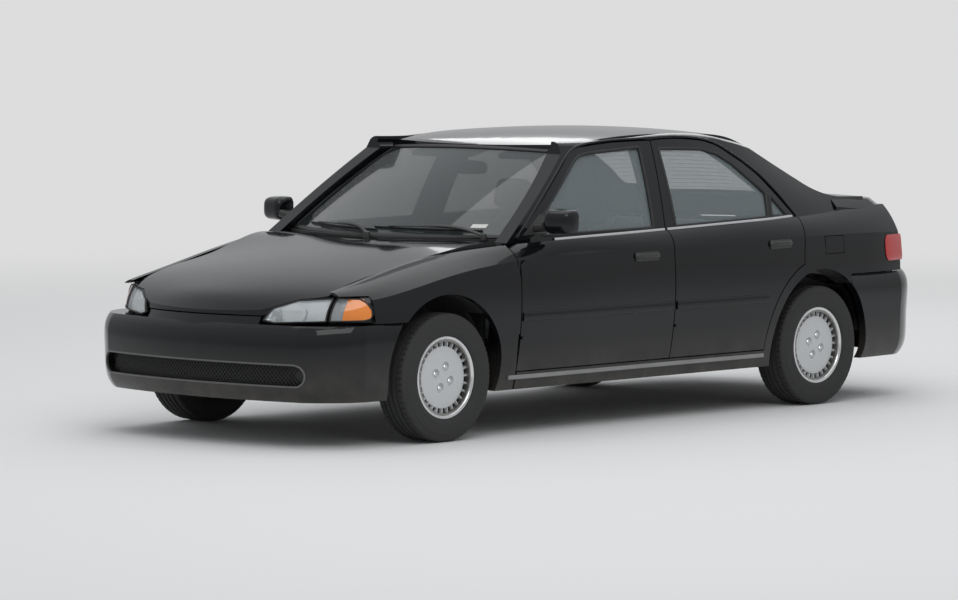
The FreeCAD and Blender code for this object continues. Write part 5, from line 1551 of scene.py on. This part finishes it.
@dataclass
class Glazing:
    """What dresses both end windows: seals, pillar strips, wipers, blank label and heater wires."""

    seal_width: float = 0.024
    wires: int = 11
    arm_lifts: tuple[tuple[float, float, float], ...] = (
        (0.0, -0.030, 0.012), (0.0, -0.012, 0.026), (0.0, -0.008, 0.021))
    cap: tuple[tuple[float, float], ...] = (
        (-0.018, 0.016), (0.0, 0.016), (0.010, 0.013), (0.014, 0.0005))

    def seals(self) -> None:
        """Black rubber round both panes, with a thin bright strip up each windscreen pillar."""
        for word, pane in (("windscreen_seal", WINDSCREEN), ("rear_window_seal", BACKLIGHT)):
            s, t = pane.border(0.012, 0.03)
            maker = MeshMaker(word)
            maker.sweep(pane.at(s, t, 0.001), outline_box(self.seal_width, 0.009, 0.003, 3),
                        pane.normal(s, t), closed=True)
            maker.build(SEAL, "body", smooth=50.0)
        t = np.linspace(0.04, 1.96, 60)
        for side in Side:
            s = np.full_like(t, side.value)
            path = WINDSCREEN.at(s, t, 0.006) + np.array((side.value * 0.012, 0.004, 0.0))
            maker = MeshMaker("pillar_strip_" + side.word)
            maker.sweep(path, outline_box(0.011, 0.008, 0.003, 3), WINDSCREEN.normal(s, t))
            maker.build(CHROME, "body", smooth=50.0)

    def wiper(self, word: str, pivot: float, start: float, stop: float, level: float) -> None:
        """A wiper at rest: a thin blade along the glass, a bridge over it, a bent arm and a cap.

        Args:
            word: The wiper's word.
            pivot: Place of the pivot across the glass.
            start: Place of the blade's first end across.
            stop: Place of its other end.
            level: The blade's height up the glass at its first end.
        """
        maker = MeshMaker("wiper_" + word)
        s = np.linspace(start, stop, 50)
        t = level + 0.03 * np.linspace(0.0, 1.0, 50)
        maker.sweep(WINDSCREEN.at(s, t, 0.006), outline_box(0.006, 0.012, 0.002, 2),
                    WINDSCREEN.normal(s, t))
        inner, inner_t = s[8:-8], t[8:-8]
        out = WINDSCREEN.normal(inner, inner_t)
        hump = 0.016 + 0.006 * np.sin(np.linspace(0.0, math.pi, len(inner)))
        bridge = WINDSCREEN.at(inner, inner_t) + out * hump[:, None]
        maker.sweep(bridge, outline_box(0.009, 0.005, 0.002, 2), out)
        bend = pivot * 0.7 + start * 0.3 - 0.1
        ends = WINDSCREEN.at((pivot, bend, (start + stop) / 2), (0.0, 0.05, level + 0.015))
        arm = smooth_path(ends + np.array(self.arm_lifts), 24)
        maker.sweep(arm, outline_box(0.015, 0.008, 0.003, 3), (0.0, -0.6, 0.8))
        cap = np.array(self.cap)
        angle = full_turn(28)[:, None]
        knob = np.stack((cap[None, :, 1] * np.cos(angle), cap[None, :, 1] * np.sin(angle),
                         cap[None, :, 0] + 0.0 * angle), -1)
        maker.grid(knob + arm[0], along=True)
        maker.build(PLASTIC, "body", smooth=45.0)

    def extras(self) -> None:
        """The blank label low on the windscreen, and the heater's wires on the rear window."""
        s, t = np.meshgrid(np.linspace(0.70, 0.80, 8), np.linspace(0.20, 0.27, 6), indexing="ij")
        rows = WINDSCREEN.at(s, t, 0.0015).reshape(8, 6, 3)
        maker = MeshMaker("screen_label")
        shell_between(maker, rows, WINDSCREEN.at(s, t, 0.0006).reshape(8, 6, 3))
        maker.build(LABEL, "body", smooth=30.0)
        maker = MeshMaker("rear_heater_wires")
        s = np.linspace(-0.88, 0.88, 40)
        for height in np.linspace(0.25, 1.75, self.wires):
            level = np.full_like(s, height)
            maker.sweep(BACKLIGHT.at(s, level, -0.006), outline_box(0.0022, 0.0010, 0.0003, 1),
                        BACKLIGHT.normal(s, level))
        maker.build(WIRE, "body", smooth=60.0)

    def build(self) -> None:
        """Makes every piece on the front and rear glass."""
        self.seals()
        self.wiper("driver", 0.86, 0.80, -0.02, 0.13)
        self.wiper("passenger", 0.02, 0.02, -0.76, 0.11)
        self.extras()


@dataclass
class RoofDrip:
    """The raised strip over one side's doors, from the windscreen's foot to the rear door's tail."""

    side: Side
    line: tuple[tuple[float, float], ...] = (
        (-0.880, 0.884), (-0.640, 1.063), (-0.392, 1.245), (-0.325, 1.277), (-0.250, 1.290),
        (-0.060, 1.302), (0.211, 1.307), (0.370, 1.311), (0.526, 1.303), (0.625, 1.289),
        (0.708, 1.263), (0.852, 1.185), (0.950, 1.118), (1.040, 1.024), (1.122, 0.915))

    def build(self) -> None:
        """Makes the strip: a rounded profile on the greenhouse just above the doors' frames."""
        line = lined_path(self.line, 160)
        kernel = np.ones(7) / 7.0
        padded = np.pad(line, ((3, 3), (0, 0)), mode="reflect", reflect_type="odd")
        line = np.stack([np.convolve(padded[:, k], kernel, "valid") for k in range(2)], 1)
        top = spline(HOUSE_STATIONS[:, 0], HOUSE_STATIONS[:, 1:], line[:, 0])
        edge = top[:, 1] - (line[:, 1] - top[:, 2]).clip(0.0) * 1.6
        below = house_x(line[:, 0], np.minimum(line[:, 1], top[:, 2]))
        x = np.where(line[:, 1] > top[:, 2], edge, below)
        path = on_side(np.stack((x + 0.001, line[:, 0], line[:, 1]), 1), self.side)
        maker = MeshMaker("roof_drip_" + self.side.word)
        maker.sweep(path, outline_box(0.011, 0.013, 0.004, 3), (self.side.value, 0.0, 0.35))
        maker.build(PAINT, "body", smooth=50.0)


@dataclass
class Sills:
    """The light strip low along one side, between the wheel arches."""

    side: Side
    start: float = -0.985
    stop: float = 0.812
    height: float = 0.262

    def build(self) -> None:
        """Makes the strip: a rounded band carried along the flank."""
        y = np.linspace(self.start, self.stop, 60)
        z = np.full_like(y, self.height)
        path = on_side(np.stack((flank_x(y, z) + 0.0015, y, z), 1), self.side)
        maker = MeshMaker("sill_strip_" + self.side.word)
        maker.sweep(path, outline_box(0.020, 0.012, 0.004, 3), (self.side.value, 0.0, 0.0))
        maker.build(GREY_TRIM, "body", smooth=50.0)


@dataclass
class BumperTrim:
    """Front intake with its net, a dark sheet of painted shade behind it and its lip, and the blank rear
    plate.
    """

    half: float = 0.632
    low: float = 0.275
    high: float = 0.372
    net_pitch: float = 0.020

    def across(self, form: EndForm, z: float, x: float, inset: float, count: int = 90) -> Grid:
        """Points across an end form at one height, from -x to x.

        Args:
            form: The end form.
            z: Height.
            x: Half width.
            inset: Distance drawn in from the skin.
            count: Points.

        Returns:
            Rows of points.
        """
        ring = form.outline(z, inset, 120)[0]
        at = np.linspace(-x, x, count)
        y = np.interp(np.abs(at), ring[:, 0], ring[:, 1])
        return np.stack((at, y, np.full_like(at, z)), 1)

    @property
    def rise(self) -> float:
        """Height of the intake's opening."""
        return self.high - self.low

    @property
    def middle(self) -> float:
        """Height of the opening's middle."""
        return (self.low + self.high) / 2

    def net(self) -> None:
        """A net of crossed bars in the intake."""
        maker = MeshMaker("intake_net")
        ring = FRONT_BUMPER.outline(self.middle, 0.034, 120)[0]
        for sign in (1, -1):
            for foot in np.arange(-self.half + 0.02, self.half - 0.12, self.net_pitch):
                at = foot + np.linspace(0.0, self.rise * 0.9, 5)
                z = np.linspace(self.low, self.high, 5)[::sign]
                y = np.interp(np.abs(at), ring[:, 0], ring[:, 1])
                maker.sweep(np.stack((at, y, z), 1), outline_box(0.0045, 0.0035, 0.001, 1),
                            (0.0, -1.0, 0.0))
        maker.build(SEAL, "body", smooth=None)

    def shade_sheet(self) -> None:
        """A dark sheet behind the net: painted shade that closes the intake, where only shade would
        show.
        """
        # Painted shade: the dark sheet stands for the shade inside the intake.
        levels = np.linspace(self.low - 0.012, self.high + 0.012, 8)
        face = np.stack([self.across(FRONT_BUMPER, z, self.half, 0.039, 60) for z in levels], 1)
        maker = MeshMaker("intake_backing")
        shell_between(maker, face, face + np.array((0.0, 0.002, 0.0)))
        maker.build(SEAL, "body", smooth=30.0)

    def lip(self) -> None:
        """A rolled lip: straight above and below, round at the ends, along the bumper's skin."""
        radius = self.rise / 2
        turn = np.linspace(-math.pi / 2, math.pi / 2, 16)
        flat = np.linspace(-self.half + radius, self.half - radius, 70)
        x = np.concatenate((flat, self.half - radius + radius * np.cos(turn[1:-1]), flat[::-1],
                            -self.half + radius - radius * np.cos(turn[1:-1])))
        bend = radius * np.sin(turn[1:-1])
        z = np.concatenate((np.full(70, self.low), self.middle + bend, np.full(70, self.high),
                            self.middle - bend))
        levels = np.linspace(self.low, self.high, 9)
        rings = FRONT_BUMPER.outline(levels, 0.0, 120)
        depth = np.array([np.interp(np.abs(x), ring[:, 0], ring[:, 1]) for ring in rings])
        share = (z - self.low) / self.rise * 8.0
        low = np.clip(share.astype(int), 0, 7)
        at = np.arange(len(x))
        y = depth[low, at] * (1.0 - share + low) + depth[low + 1, at] * (share - low)
        maker = MeshMaker("intake_lip")
        maker.sweep(np.stack((x, y + 0.0085, z), 1), outline_box(0.009, 0.014, 0.004, 3),
                    (0.0, -1.0, 0.0), closed=True)
        maker.build(SATIN, "body", smooth=50.0)

    def plate(self) -> None:
        """A blank plate in a dark frame on the trunk lid's face."""
        low, high, half = 0.668, 0.786, 0.155
        z = np.linspace(low, high, 8)
        x = np.linspace(-half, half, 30)
        y = max(np.interp(np.abs(x), ring[:, 0], ring[:, 1]).max() for ring in TAIL.outline(z, 0.0, 120))
        face = np.stack(np.broadcast_arrays(x[:, None], y + 0.0035, z[None]), -1)
        maker = MeshMaker("rear_plate")
        shell_between(maker, face, face - np.array((0.0, 0.003, 0.0)))
        maker.build(BLANK_PLATE, "trunk_lid", smooth=30.0)
        maker = MeshMaker("rear_plate_frame")
        edge = np.stack((half * np.array((-1.0, 1.0, 1.0, -1.0, -1.0)), np.full(5, y + 0.003),
                         np.array((low, low, high, high, low))), 1)
        maker.sweep(lined_path(edge, 121)[:-1], outline_box(0.008, 0.008, 0.002, 2), (0.0, 1.0, 0.0),
                    closed=True)
        maker.build(PLASTIC, "trunk_lid", smooth=50.0)

    def build(self) -> None:
        """Makes the intake and the plate."""
        self.net()
        self.shade_sheet()
        self.lip()
        self.plate()


@dataclass
class Cushion:
    """A padded form: a superellipsoid in its own frame, puffed by a cloth simulation, then seamed."""

    name: str
    centre: tuple[float, float, float]
    across: tuple[float, float, float]
    length: tuple[float, float, float]
    half: tuple[float, float, float]
    bolster: float = 0.0
    channels: tuple[float, ...] = ()
    taper: float = 0.0
    square: float = 0.34
    voxel: float = 0.011
    pressure: float = 4.0
    frames: int = 20
    cap: float = 0.016
    seam_width: float = 0.010
    seam_depth: float = 0.008
    channel_depth: float = 0.006

    @property
    def axes(self) -> Grid:
        """Unit vectors across, along and out of the cushion."""
        a, b = np.asarray(self.across, float), np.asarray(self.length, float)
        a, b = a / np.linalg.norm(a), b / np.linalg.norm(b)
        return np.stack((a, b, np.cross(a, b)))

    def shape(self) -> tuple[Grid, Grid]:
        """The starting form's points and quads.

        Each coordinate is a signed power of the sphere's: across and along of both angles, out of the
        latitude. The length tapers the width, and the outer thirds rise as bolsters.
        """
        lon = full_turn(72)[:, None]
        lat = np.linspace(-math.pi / 2, math.pi / 2, 33)[None]

        def power(value: Grid) -> Grid:
            """Signed power of a sine or cosine."""
            return np.sign(value) * np.abs(value) ** self.square

        a = power(np.cos(lat)) * power(np.cos(lon))
        b = power(np.cos(lat)) * power(np.sin(lon))
        c = power(np.sin(lat)) + 0.0 * lon
        side = np.clip((np.abs(a) - 0.55) / 0.3, 0.0, 1.0)
        lift = self.bolster * side * side * (3.0 - 2.0 * side) * np.clip(c, 0.0, 1.0)
        local = np.stack((a * self.half[0] * (1.0 - self.taper * (b + 1.0) / 2.0), b * self.half[1],
                          c * self.half[2] + lift), -1)
        return (local.reshape(-1, 3) @ self.axes) + np.array(self.centre), local

    def build(self, finish: Finish, fill: float = 0.7) -> bpy.types.Object:
        """Makes the cushion.

        Args:
            finish: Its cloth.
            fill: Not used.

        Returns:
            The finished piece.
        """
        points, local = self.shape()
        maker = MeshMaker(self.name)
        maker.grid(points.reshape(local.shape), along=True)
        piece = maker.build(finish, "body", merge=1e-4, smooth=None)
        self.remesh(piece)
        self.puff(piece)
        self.seam(piece)
        mod = piece.modifiers.new("round", "SUBSURF")
        mod.levels = mod.render_levels = 1
        piece.data.polygons.foreach_set("use_smooth", np.ones(len(piece.data.polygons), bool))
        return piece

    def remesh(self, piece: bpy.types.Object) -> None:
        """Replaces the mesh by an even net of quads.

        Args:
            piece: The cushion.
        """
        mod = piece.modifiers.new("even", "REMESH")
        mod.mode, mod.voxel_size, mod.use_smooth_shade = "VOXEL", self.voxel, True
        self.settle(piece)

    @staticmethod
    def settle(piece: bpy.types.Object) -> None:
        """Puts what the modifiers give into the mesh, and takes them off.

        Args:
            piece: The cushion.
        """
        bpy.context.view_layer.update()
        graph = bpy.context.evaluated_depsgraph_get()
        mesh = bpy.data.meshes.new_from_object(piece.evaluated_get(graph))
        piece.modifiers.clear()
        piece.data = mesh

    def puff(self, piece: bpy.types.Object) -> None:
        """Swells the cushion with a short cloth simulation, and holds each point within the cap.

        Args:
            piece: The cushion.
        """
        before = read_points(piece.data)
        mod = piece.modifiers.new("cloth", "CLOTH")
        settings = mod.settings
        settings.use_pressure = True
        settings.uniform_pressure_force = self.pressure
        settings.effector_weights.gravity = 0.0
        settings.quality = 4
        mod.collision_settings.use_collision = False
        scene = bpy.context.scene
        for step in range(1, self.frames + 1):
            scene.frame_set(step)
        self.settle(piece)
        scene.frame_set(1)
        after = read_points(piece.data)
        move = after - before
        far = np.linalg.norm(move, axis=1)[:, None]
        move *= np.minimum(1.0, self.cap / np.maximum(far, 1e-9))
        piece.data.vertices.foreach_set("co", (before + move).ravel())
        piece.data.update()

    def seam(self, piece: bpy.types.Object) -> None:
        """Sinks a bell-shaped groove into the outer face beside each bolster and along each channel.

        Args:
            piece: The cushion.
        """
        points = read_points(piece.data)
        local = (points - np.array(self.centre)) @ self.axes.T
        out = np.clip(local[:, 2] / self.half[2], 0.0, 1.0)
        depth = np.zeros(len(points))
        if self.bolster > 0.0:
            beside = np.abs(local[:, 0]) - 0.56 * self.half[0]
            depth += self.seam_depth * np.exp(-(beside / self.seam_width) ** 2)
        inner = np.abs(local[:, 0]) < (0.58 if self.bolster > 0.0 else 1.0) * self.half[0]
        for at in self.channels:
            over = local[:, 1] - at * self.half[1]
            depth += self.channel_depth * np.exp(-(over / self.seam_width) ** 2) * inner
        piece.data.vertices.foreach_set("co", (points - self.axes[2] * (depth * out)[:, None]).ravel())
        piece.data.update()


def read_points(mesh: bpy.types.Mesh) -> Grid:
    """A mesh's vertices as rows.

    Args:
        mesh: The mesh.

    Returns:
        One (x, y, z) row for each vertex.
    """
    flat = np.empty(len(mesh.vertices) * 3)
    mesh.vertices.foreach_get("co", flat)
    return flat.reshape(-1, 3)


@dataclass
class Seats:
    """The front seats and the rear bench, padded, with the front seats' bases."""

    half_width: float = 0.370

    def front(self) -> None:
        """A cushion, a back and a head restraint on each side, the right ones mirrored from the left."""
        forms = (
            Cushion("front_seat_cushion", (self.half_width, -0.105, 0.350), (1, 0, 0), (0, 1.0, -0.12),
                    (0.226, 0.232, 0.066), 0.020, (-0.45, 0.0, 0.45)),
            Cushion("front_seat_back", (self.half_width, 0.205, 0.640), (1, 0, 0), (0, 0.33, 1.0),
                    (0.218, 0.270, 0.056), 0.022, (-0.5, -0.1, 0.3), 0.14),
            Cushion("front_head_restraint", (self.half_width, 0.333, 1.010), (1, 0, 0), (0, 0.20, 1.0),
                    (0.112, 0.074, 0.036), 0.0, (), 0.08, 0.45))
        for form in forms:
            left = form.build(FABRIC)
            left.name = form.name + "_left"
            mesh = left.data.copy()
            mesh.vertices.foreach_set("co", (read_points(mesh) * np.array((-1.0, 1.0, 1.0))).ravel())
            mesh.flip_normals()
            right = bpy.data.objects.new(form.name + "_right", mesh)
            bpy.context.scene.collection.objects.link(right)
            mod = right.modifiers.new("round", "SUBSURF")
            mod.levels = mod.render_levels = 1
            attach(right, "body")
            LOG.info("%s: mirrored pair", form.name)
        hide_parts("front_seats")
        self.base()

    def base(self) -> None:
        """The seats' rails, their feet and the head restraints' pins."""
        maker = MeshMaker("front_seat_bases")
        for sign in (1.0, -1.0):
            for dx in (-0.19, 0.19):
                x = sign * self.half_width + dx
                rail = np.array(((x, -0.32, 0.250), (x, 0.14, 0.250)))
                maker.sweep(lined_path(rail, 6), outline_box(0.030, 0.036, 0.004, 2), (0.0, 0.0, 1.0))
                for y in (-0.28, 0.10):
                    foot = np.array(((x, y, 0.232), (x, y, 0.300)))
                    maker.sweep(lined_path(foot, 4), outline_box(0.032, 0.060, 0.006, 2),
                                (0.0, 1.0, 0.0))
            for dx in (-0.045, 0.045):
                x = sign * self.half_width + dx
                pin = np.array(((x, 0.285, 0.860), (x, 0.318, 0.975)))
                maker.sweep(lined_path(pin, 4), outline_round(0.006, 10), (0.0, 1.0, 0.0))
        maker.build(STEEL, "body", smooth=40.0)

    def rear(self) -> None:
        """The bench's cushion and back, each one form across the cabin, with sunk channels."""
        bench = Cushion("rear_seat_cushion", (0.0, 0.925, 0.455), (1, 0, 0), (0, 1.0, -0.08),
                        (0.555, 0.205, 0.070), 0.014, (-0.4, 0.2), voxel=0.014)
        back = Cushion("rear_seat_back", (0.0, 1.155, 0.690), (1, 0, 0), (0, 0.30, 1.0),
                       (0.555, 0.200, 0.048), 0.014, (-0.3, 0.3), voxel=0.014)
        first = bench.build(FABRIC)
        back.build(FABRIC)
        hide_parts("rear_seat")

    def build(self) -> None:
        """Makes all seats."""
        self.front()
        self.rear()


@dataclass
class Cabin:
    """Dashboard fittings, gear lever, mirror, visors, pedals and the doors' inner cards."""

    vents_x: tuple[float, ...] = (-0.60, -0.06, 0.06, 0.60)
    vent_half: float = 0.045
    vent_yz: tuple[float, float] = (-0.5455, 0.792)
    slats: int = 5
    slat_pitch: float = 0.011
    panels: tuple[tuple[float, float], ...] = ((0.745, 0.052), (0.690, 0.040), (0.645, 0.034))
    panel_width: float = 0.176
    knobs_x: tuple[float, ...] = (-0.055, 0.0, 0.055)
    knob_yz: tuple[float, float] = (-0.570, 0.690)
    dials_x: tuple[tuple[float, float], ...] = (
        (0.305, 0.030), (0.370, 0.044), (0.435, 0.044), (0.480, 0.026))
    dial_yz: tuple[float, float] = (-0.5475, 0.842)
    lever_path: tuple[tuple[float, float, float], ...] = (
        (0.0, -0.300, 0.235), (0.0, -0.290, 0.350), (0.0, -0.275, 0.470))
    mirror_half: tuple[float, float, float] = (0.118, 0.016, 0.032)
    mirror_yz: tuple[float, float] = (-0.378, 1.170)
    visors_x: tuple[float, ...] = (-0.28, 0.28)
    visor_size: tuple[float, float] = (0.40, 0.15)
    visor_yz: tuple[float, float] = (-0.215, 1.243)
    pedals_x: tuple[float, ...] = (0.22, 0.34, 0.46)
    pedal_yz: tuple[tuple[float, float], ...] = ((-0.930, 0.500), (-0.900, 0.400), (-0.865, 0.335))
    card_z: tuple[float, float] = (0.350, 0.835)
    card_depth: float = 0.0965
    insert_z: tuple[float, float] = (0.655, 0.795)
    insert_depth: float = 0.1045
    armrest_z: float = 0.610
    armrest_depth: float = 0.104

    def vents(self) -> None:
        """Vents of straight slats, one above the other on the dashboard's face."""
        maker = MeshMaker("dash_vents")
        for x in self.vents_x:
            for k in range(self.slats):
                y = self.vent_yz[0] - 0.12 * (k * self.slat_pitch)
                z = self.vent_yz[1] + k * self.slat_pitch
                bar = np.array(((x - self.vent_half, y, z), (x + self.vent_half, y, z)))
                maker.sweep(lined_path(bar, 5), outline_box(0.010, 0.004, 0.001, 2), (0.0, 0.0, 1.0))
        maker.build(PLASTIC, "body", smooth=40.0)

    def panel(self) -> None:
        """Radio and heater plates on the sloping middle of the dashboard, with three knobs."""
        maker = MeshMaker("dash_panel")
        for z, height in self.panels:
            ring = outline_box(self.panel_width, height, 0.006, 3)
            y = -0.548 - (0.790 - z) * 0.235
            flat = np.stack((ring[:, 0], np.full(len(ring), y), ring[:, 1] + z), 1)
            maker.plate(flat, (0.0, 0.010, 0.0))
        knob = np.array(((0.0, 0.0005), (0.0, 0.013), (0.016, 0.011), (0.018, 0.0005)))
        angle = full_turn(24)[:, None]
        for x in self.knobs_x:
            rows = np.stack((knob[None, :, 1] * np.cos(angle) + x,
                             knob[None, :, 0] + self.knob_yz[0] + 0.0 * angle,
                             knob[None, :, 1] * np.sin(angle) + self.knob_yz[1]), -1)
            maker.grid(rows, along=True)
        maker.build(PLASTIC, "body", smooth=40.0)

    def dials(self) -> None:
        """Dials under the cowl, as thin discs."""
        maker = MeshMaker("dash_dials")
        angle = full_turn(40)
        for x, radius in self.dials_x:
            flat = np.stack((x + radius * np.cos(angle) * 0.98, np.full(40, self.dial_yz[0]),
                             self.dial_yz[1] + radius * np.sin(angle)), 1)
            maker.plate(flat, (0.0, 0.003, 0.0))
        maker.build(WIRE, "body", smooth=30.0)

    def gear_lever(self) -> None:
        """The gear lever: a bent rod with a knob, and a boot of two collars at its foot."""
        maker = MeshMaker("gear_lever")
        path = smooth_path(self.lever_path, 20)
        maker.sweep(path, outline_round(0.008, 14), (0.0, 1.0, 0.0))
        for radius, at in ((0.045, 2), (0.030, 7)):
            maker.sweep(path[at:at + 4], outline_round(radius, 24), (0.0, 1.0, 0.0))
        maker.sweep(path[-4:] + np.array((0.0, 0.0, 0.020)), outline_round(0.021, 24), (0.0, 1.0, 0.0))
        maker.build(PLASTIC, "body", smooth=50.0)

    def inside_mirror(self) -> None:
        """The inside mirror: a rounded shell, a root of 1 - |u| to the sixth along X, on a stalk."""
        maker = MeshMaker("inside_mirror")
        u = np.linspace(-1.0, 1.0, 26)[:, None]
        v = full_turn(32)[None]
        size = np.maximum(1.0 - np.abs(u) ** 6, 0.0) ** 0.5
        half_x, half_y, half_z = self.mirror_half
        shell = np.stack((u * half_x + 0.0 * v, self.mirror_yz[0] + half_y * np.cos(v) * size,
                          self.mirror_yz[1] + half_z * np.sin(v) * size), -1)
        maker.grid(shell, around=True)
        stalk = lined_path(((0.0, -0.390, 1.190), (0.0, -0.400, 1.232)), 5)
        maker.sweep(stalk, outline_round(0.008, 12), (0.0, 1.0, 0.0))
        maker.build(PLASTIC, "body", smooth=60.0)

    def visors(self) -> None:
        """The two sun visors, folded up under the roof."""
        maker = MeshMaker("sun_visors")
        for x in self.visors_x:
            ring = outline_box(*self.visor_size, 0.03, 5)
            flat = np.stack((ring[:, 0] + x, ring[:, 1] * 0.93 + self.visor_yz[0],
                             self.visor_yz[1] + ring[:, 1] * 0.23), 1)
            maker.plate(flat, (0.0, 0.006, -0.016))
        maker.build(GRAIN, "body", smooth=40.0, bevel=0.003)

    def pedals(self) -> None:
        """Three hanging pedals, each a bent arm with a pad."""
        maker = MeshMaker("pedals")
        for x in self.pedals_x:
            arm = smooth_path([(x, y, z) for y, z in self.pedal_yz], 12)
            maker.sweep(arm, outline_box(0.012, 0.022, 0.003, 2), (0.0, 1.0, 0.0))
            pad = arm[-2:] + np.array((0.0, 0.010, 0.0))
            pad = np.concatenate((pad[:1] - (0, -0.002, -0.03), pad))
            maker.sweep(pad, outline_box(0.060, 0.014, 0.004, 2), (0.0, 1.0, 0.3))
        maker.build(SEAL, "body", smooth=40.0)

    def door_card(self, end: str, side: Side, y0: float, y1: float) -> None:
        """A door's inner panel along its inner face, with an armrest, and its cloth insert.

        Args:
            end: "front" or "rear".
            side: Side of the car.
            y0: The panel's leading edge.
            y1: Its trailing edge.
        """
        body = "door_%s_%s" % (end, side.word)
        y, z = np.meshgrid(np.linspace(y0, y1, 40), np.linspace(*self.card_z, 24), indexing="ij")
        card = np.stack((flank_x(y, z) - self.card_depth, y, z), -1)
        maker = MeshMaker("door_card_%s_%s" % (end, side.word))
        shell_between(maker, card, card - np.array((0.008, 0.0, 0.0)), side)
        rest = np.linspace(y0 + 0.22, y1 - 0.12, 24)
        level = np.full_like(rest, self.armrest_z)
        lift = 0.030 * np.sin(np.linspace(0.25, math.pi - 0.25, 24))
        path = np.stack((flank_x(rest, level) - self.armrest_depth - lift, rest, level), 1)
        maker.sweep(on_side(path, side), outline_box(0.046, 0.044, 0.014, 4), (side.value, 0.0, 0.0))
        maker.build(GRAIN, body, smooth=40.0)
        y, z = np.meshgrid(np.linspace(y0 + 0.09, y1 - 0.07, 30), np.linspace(*self.insert_z, 10),
                           indexing="ij")
        insert = np.stack((flank_x(y, z) - self.insert_depth, y, z), -1)
        maker = MeshMaker("door_insert_%s_%s" % (end, side.word))
        shell_between(maker, insert, insert - np.array((0.004, 0.0, 0.0)), side)
        maker.build(FABRIC, body, smooth=40.0)

    def build(self) -> None:
        """Makes the cabin's fittings."""
        self.vents()
        self.panel()
        self.dials()
        self.gear_lever()
        self.inside_mirror()
        self.visors()
        self.pedals()
        for end, y0, y1 in (("front", -0.860, 0.045), ("rear", 0.205, 0.770)):
            for side in Side:
                self.door_card(end, side, y0, y1)


def main() -> None:
    """Builds the stage and every piece."""
    logging.basicConfig(level=logging.INFO, format="%(message)s")
    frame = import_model()
    Studio().build()
    NodeDresser(frame).dress()
    build_wheels()
    build_lamps()
    for side in Side:
        SideTrim(side).build()
        DoorMirror(side).build()
        RoofDrip(side).build()
        Sills(side).build()
    Glazing().build()
    BumperTrim().build()
    Cabin().build()
    Seats().build()


if __name__ == "__main__":
    main()
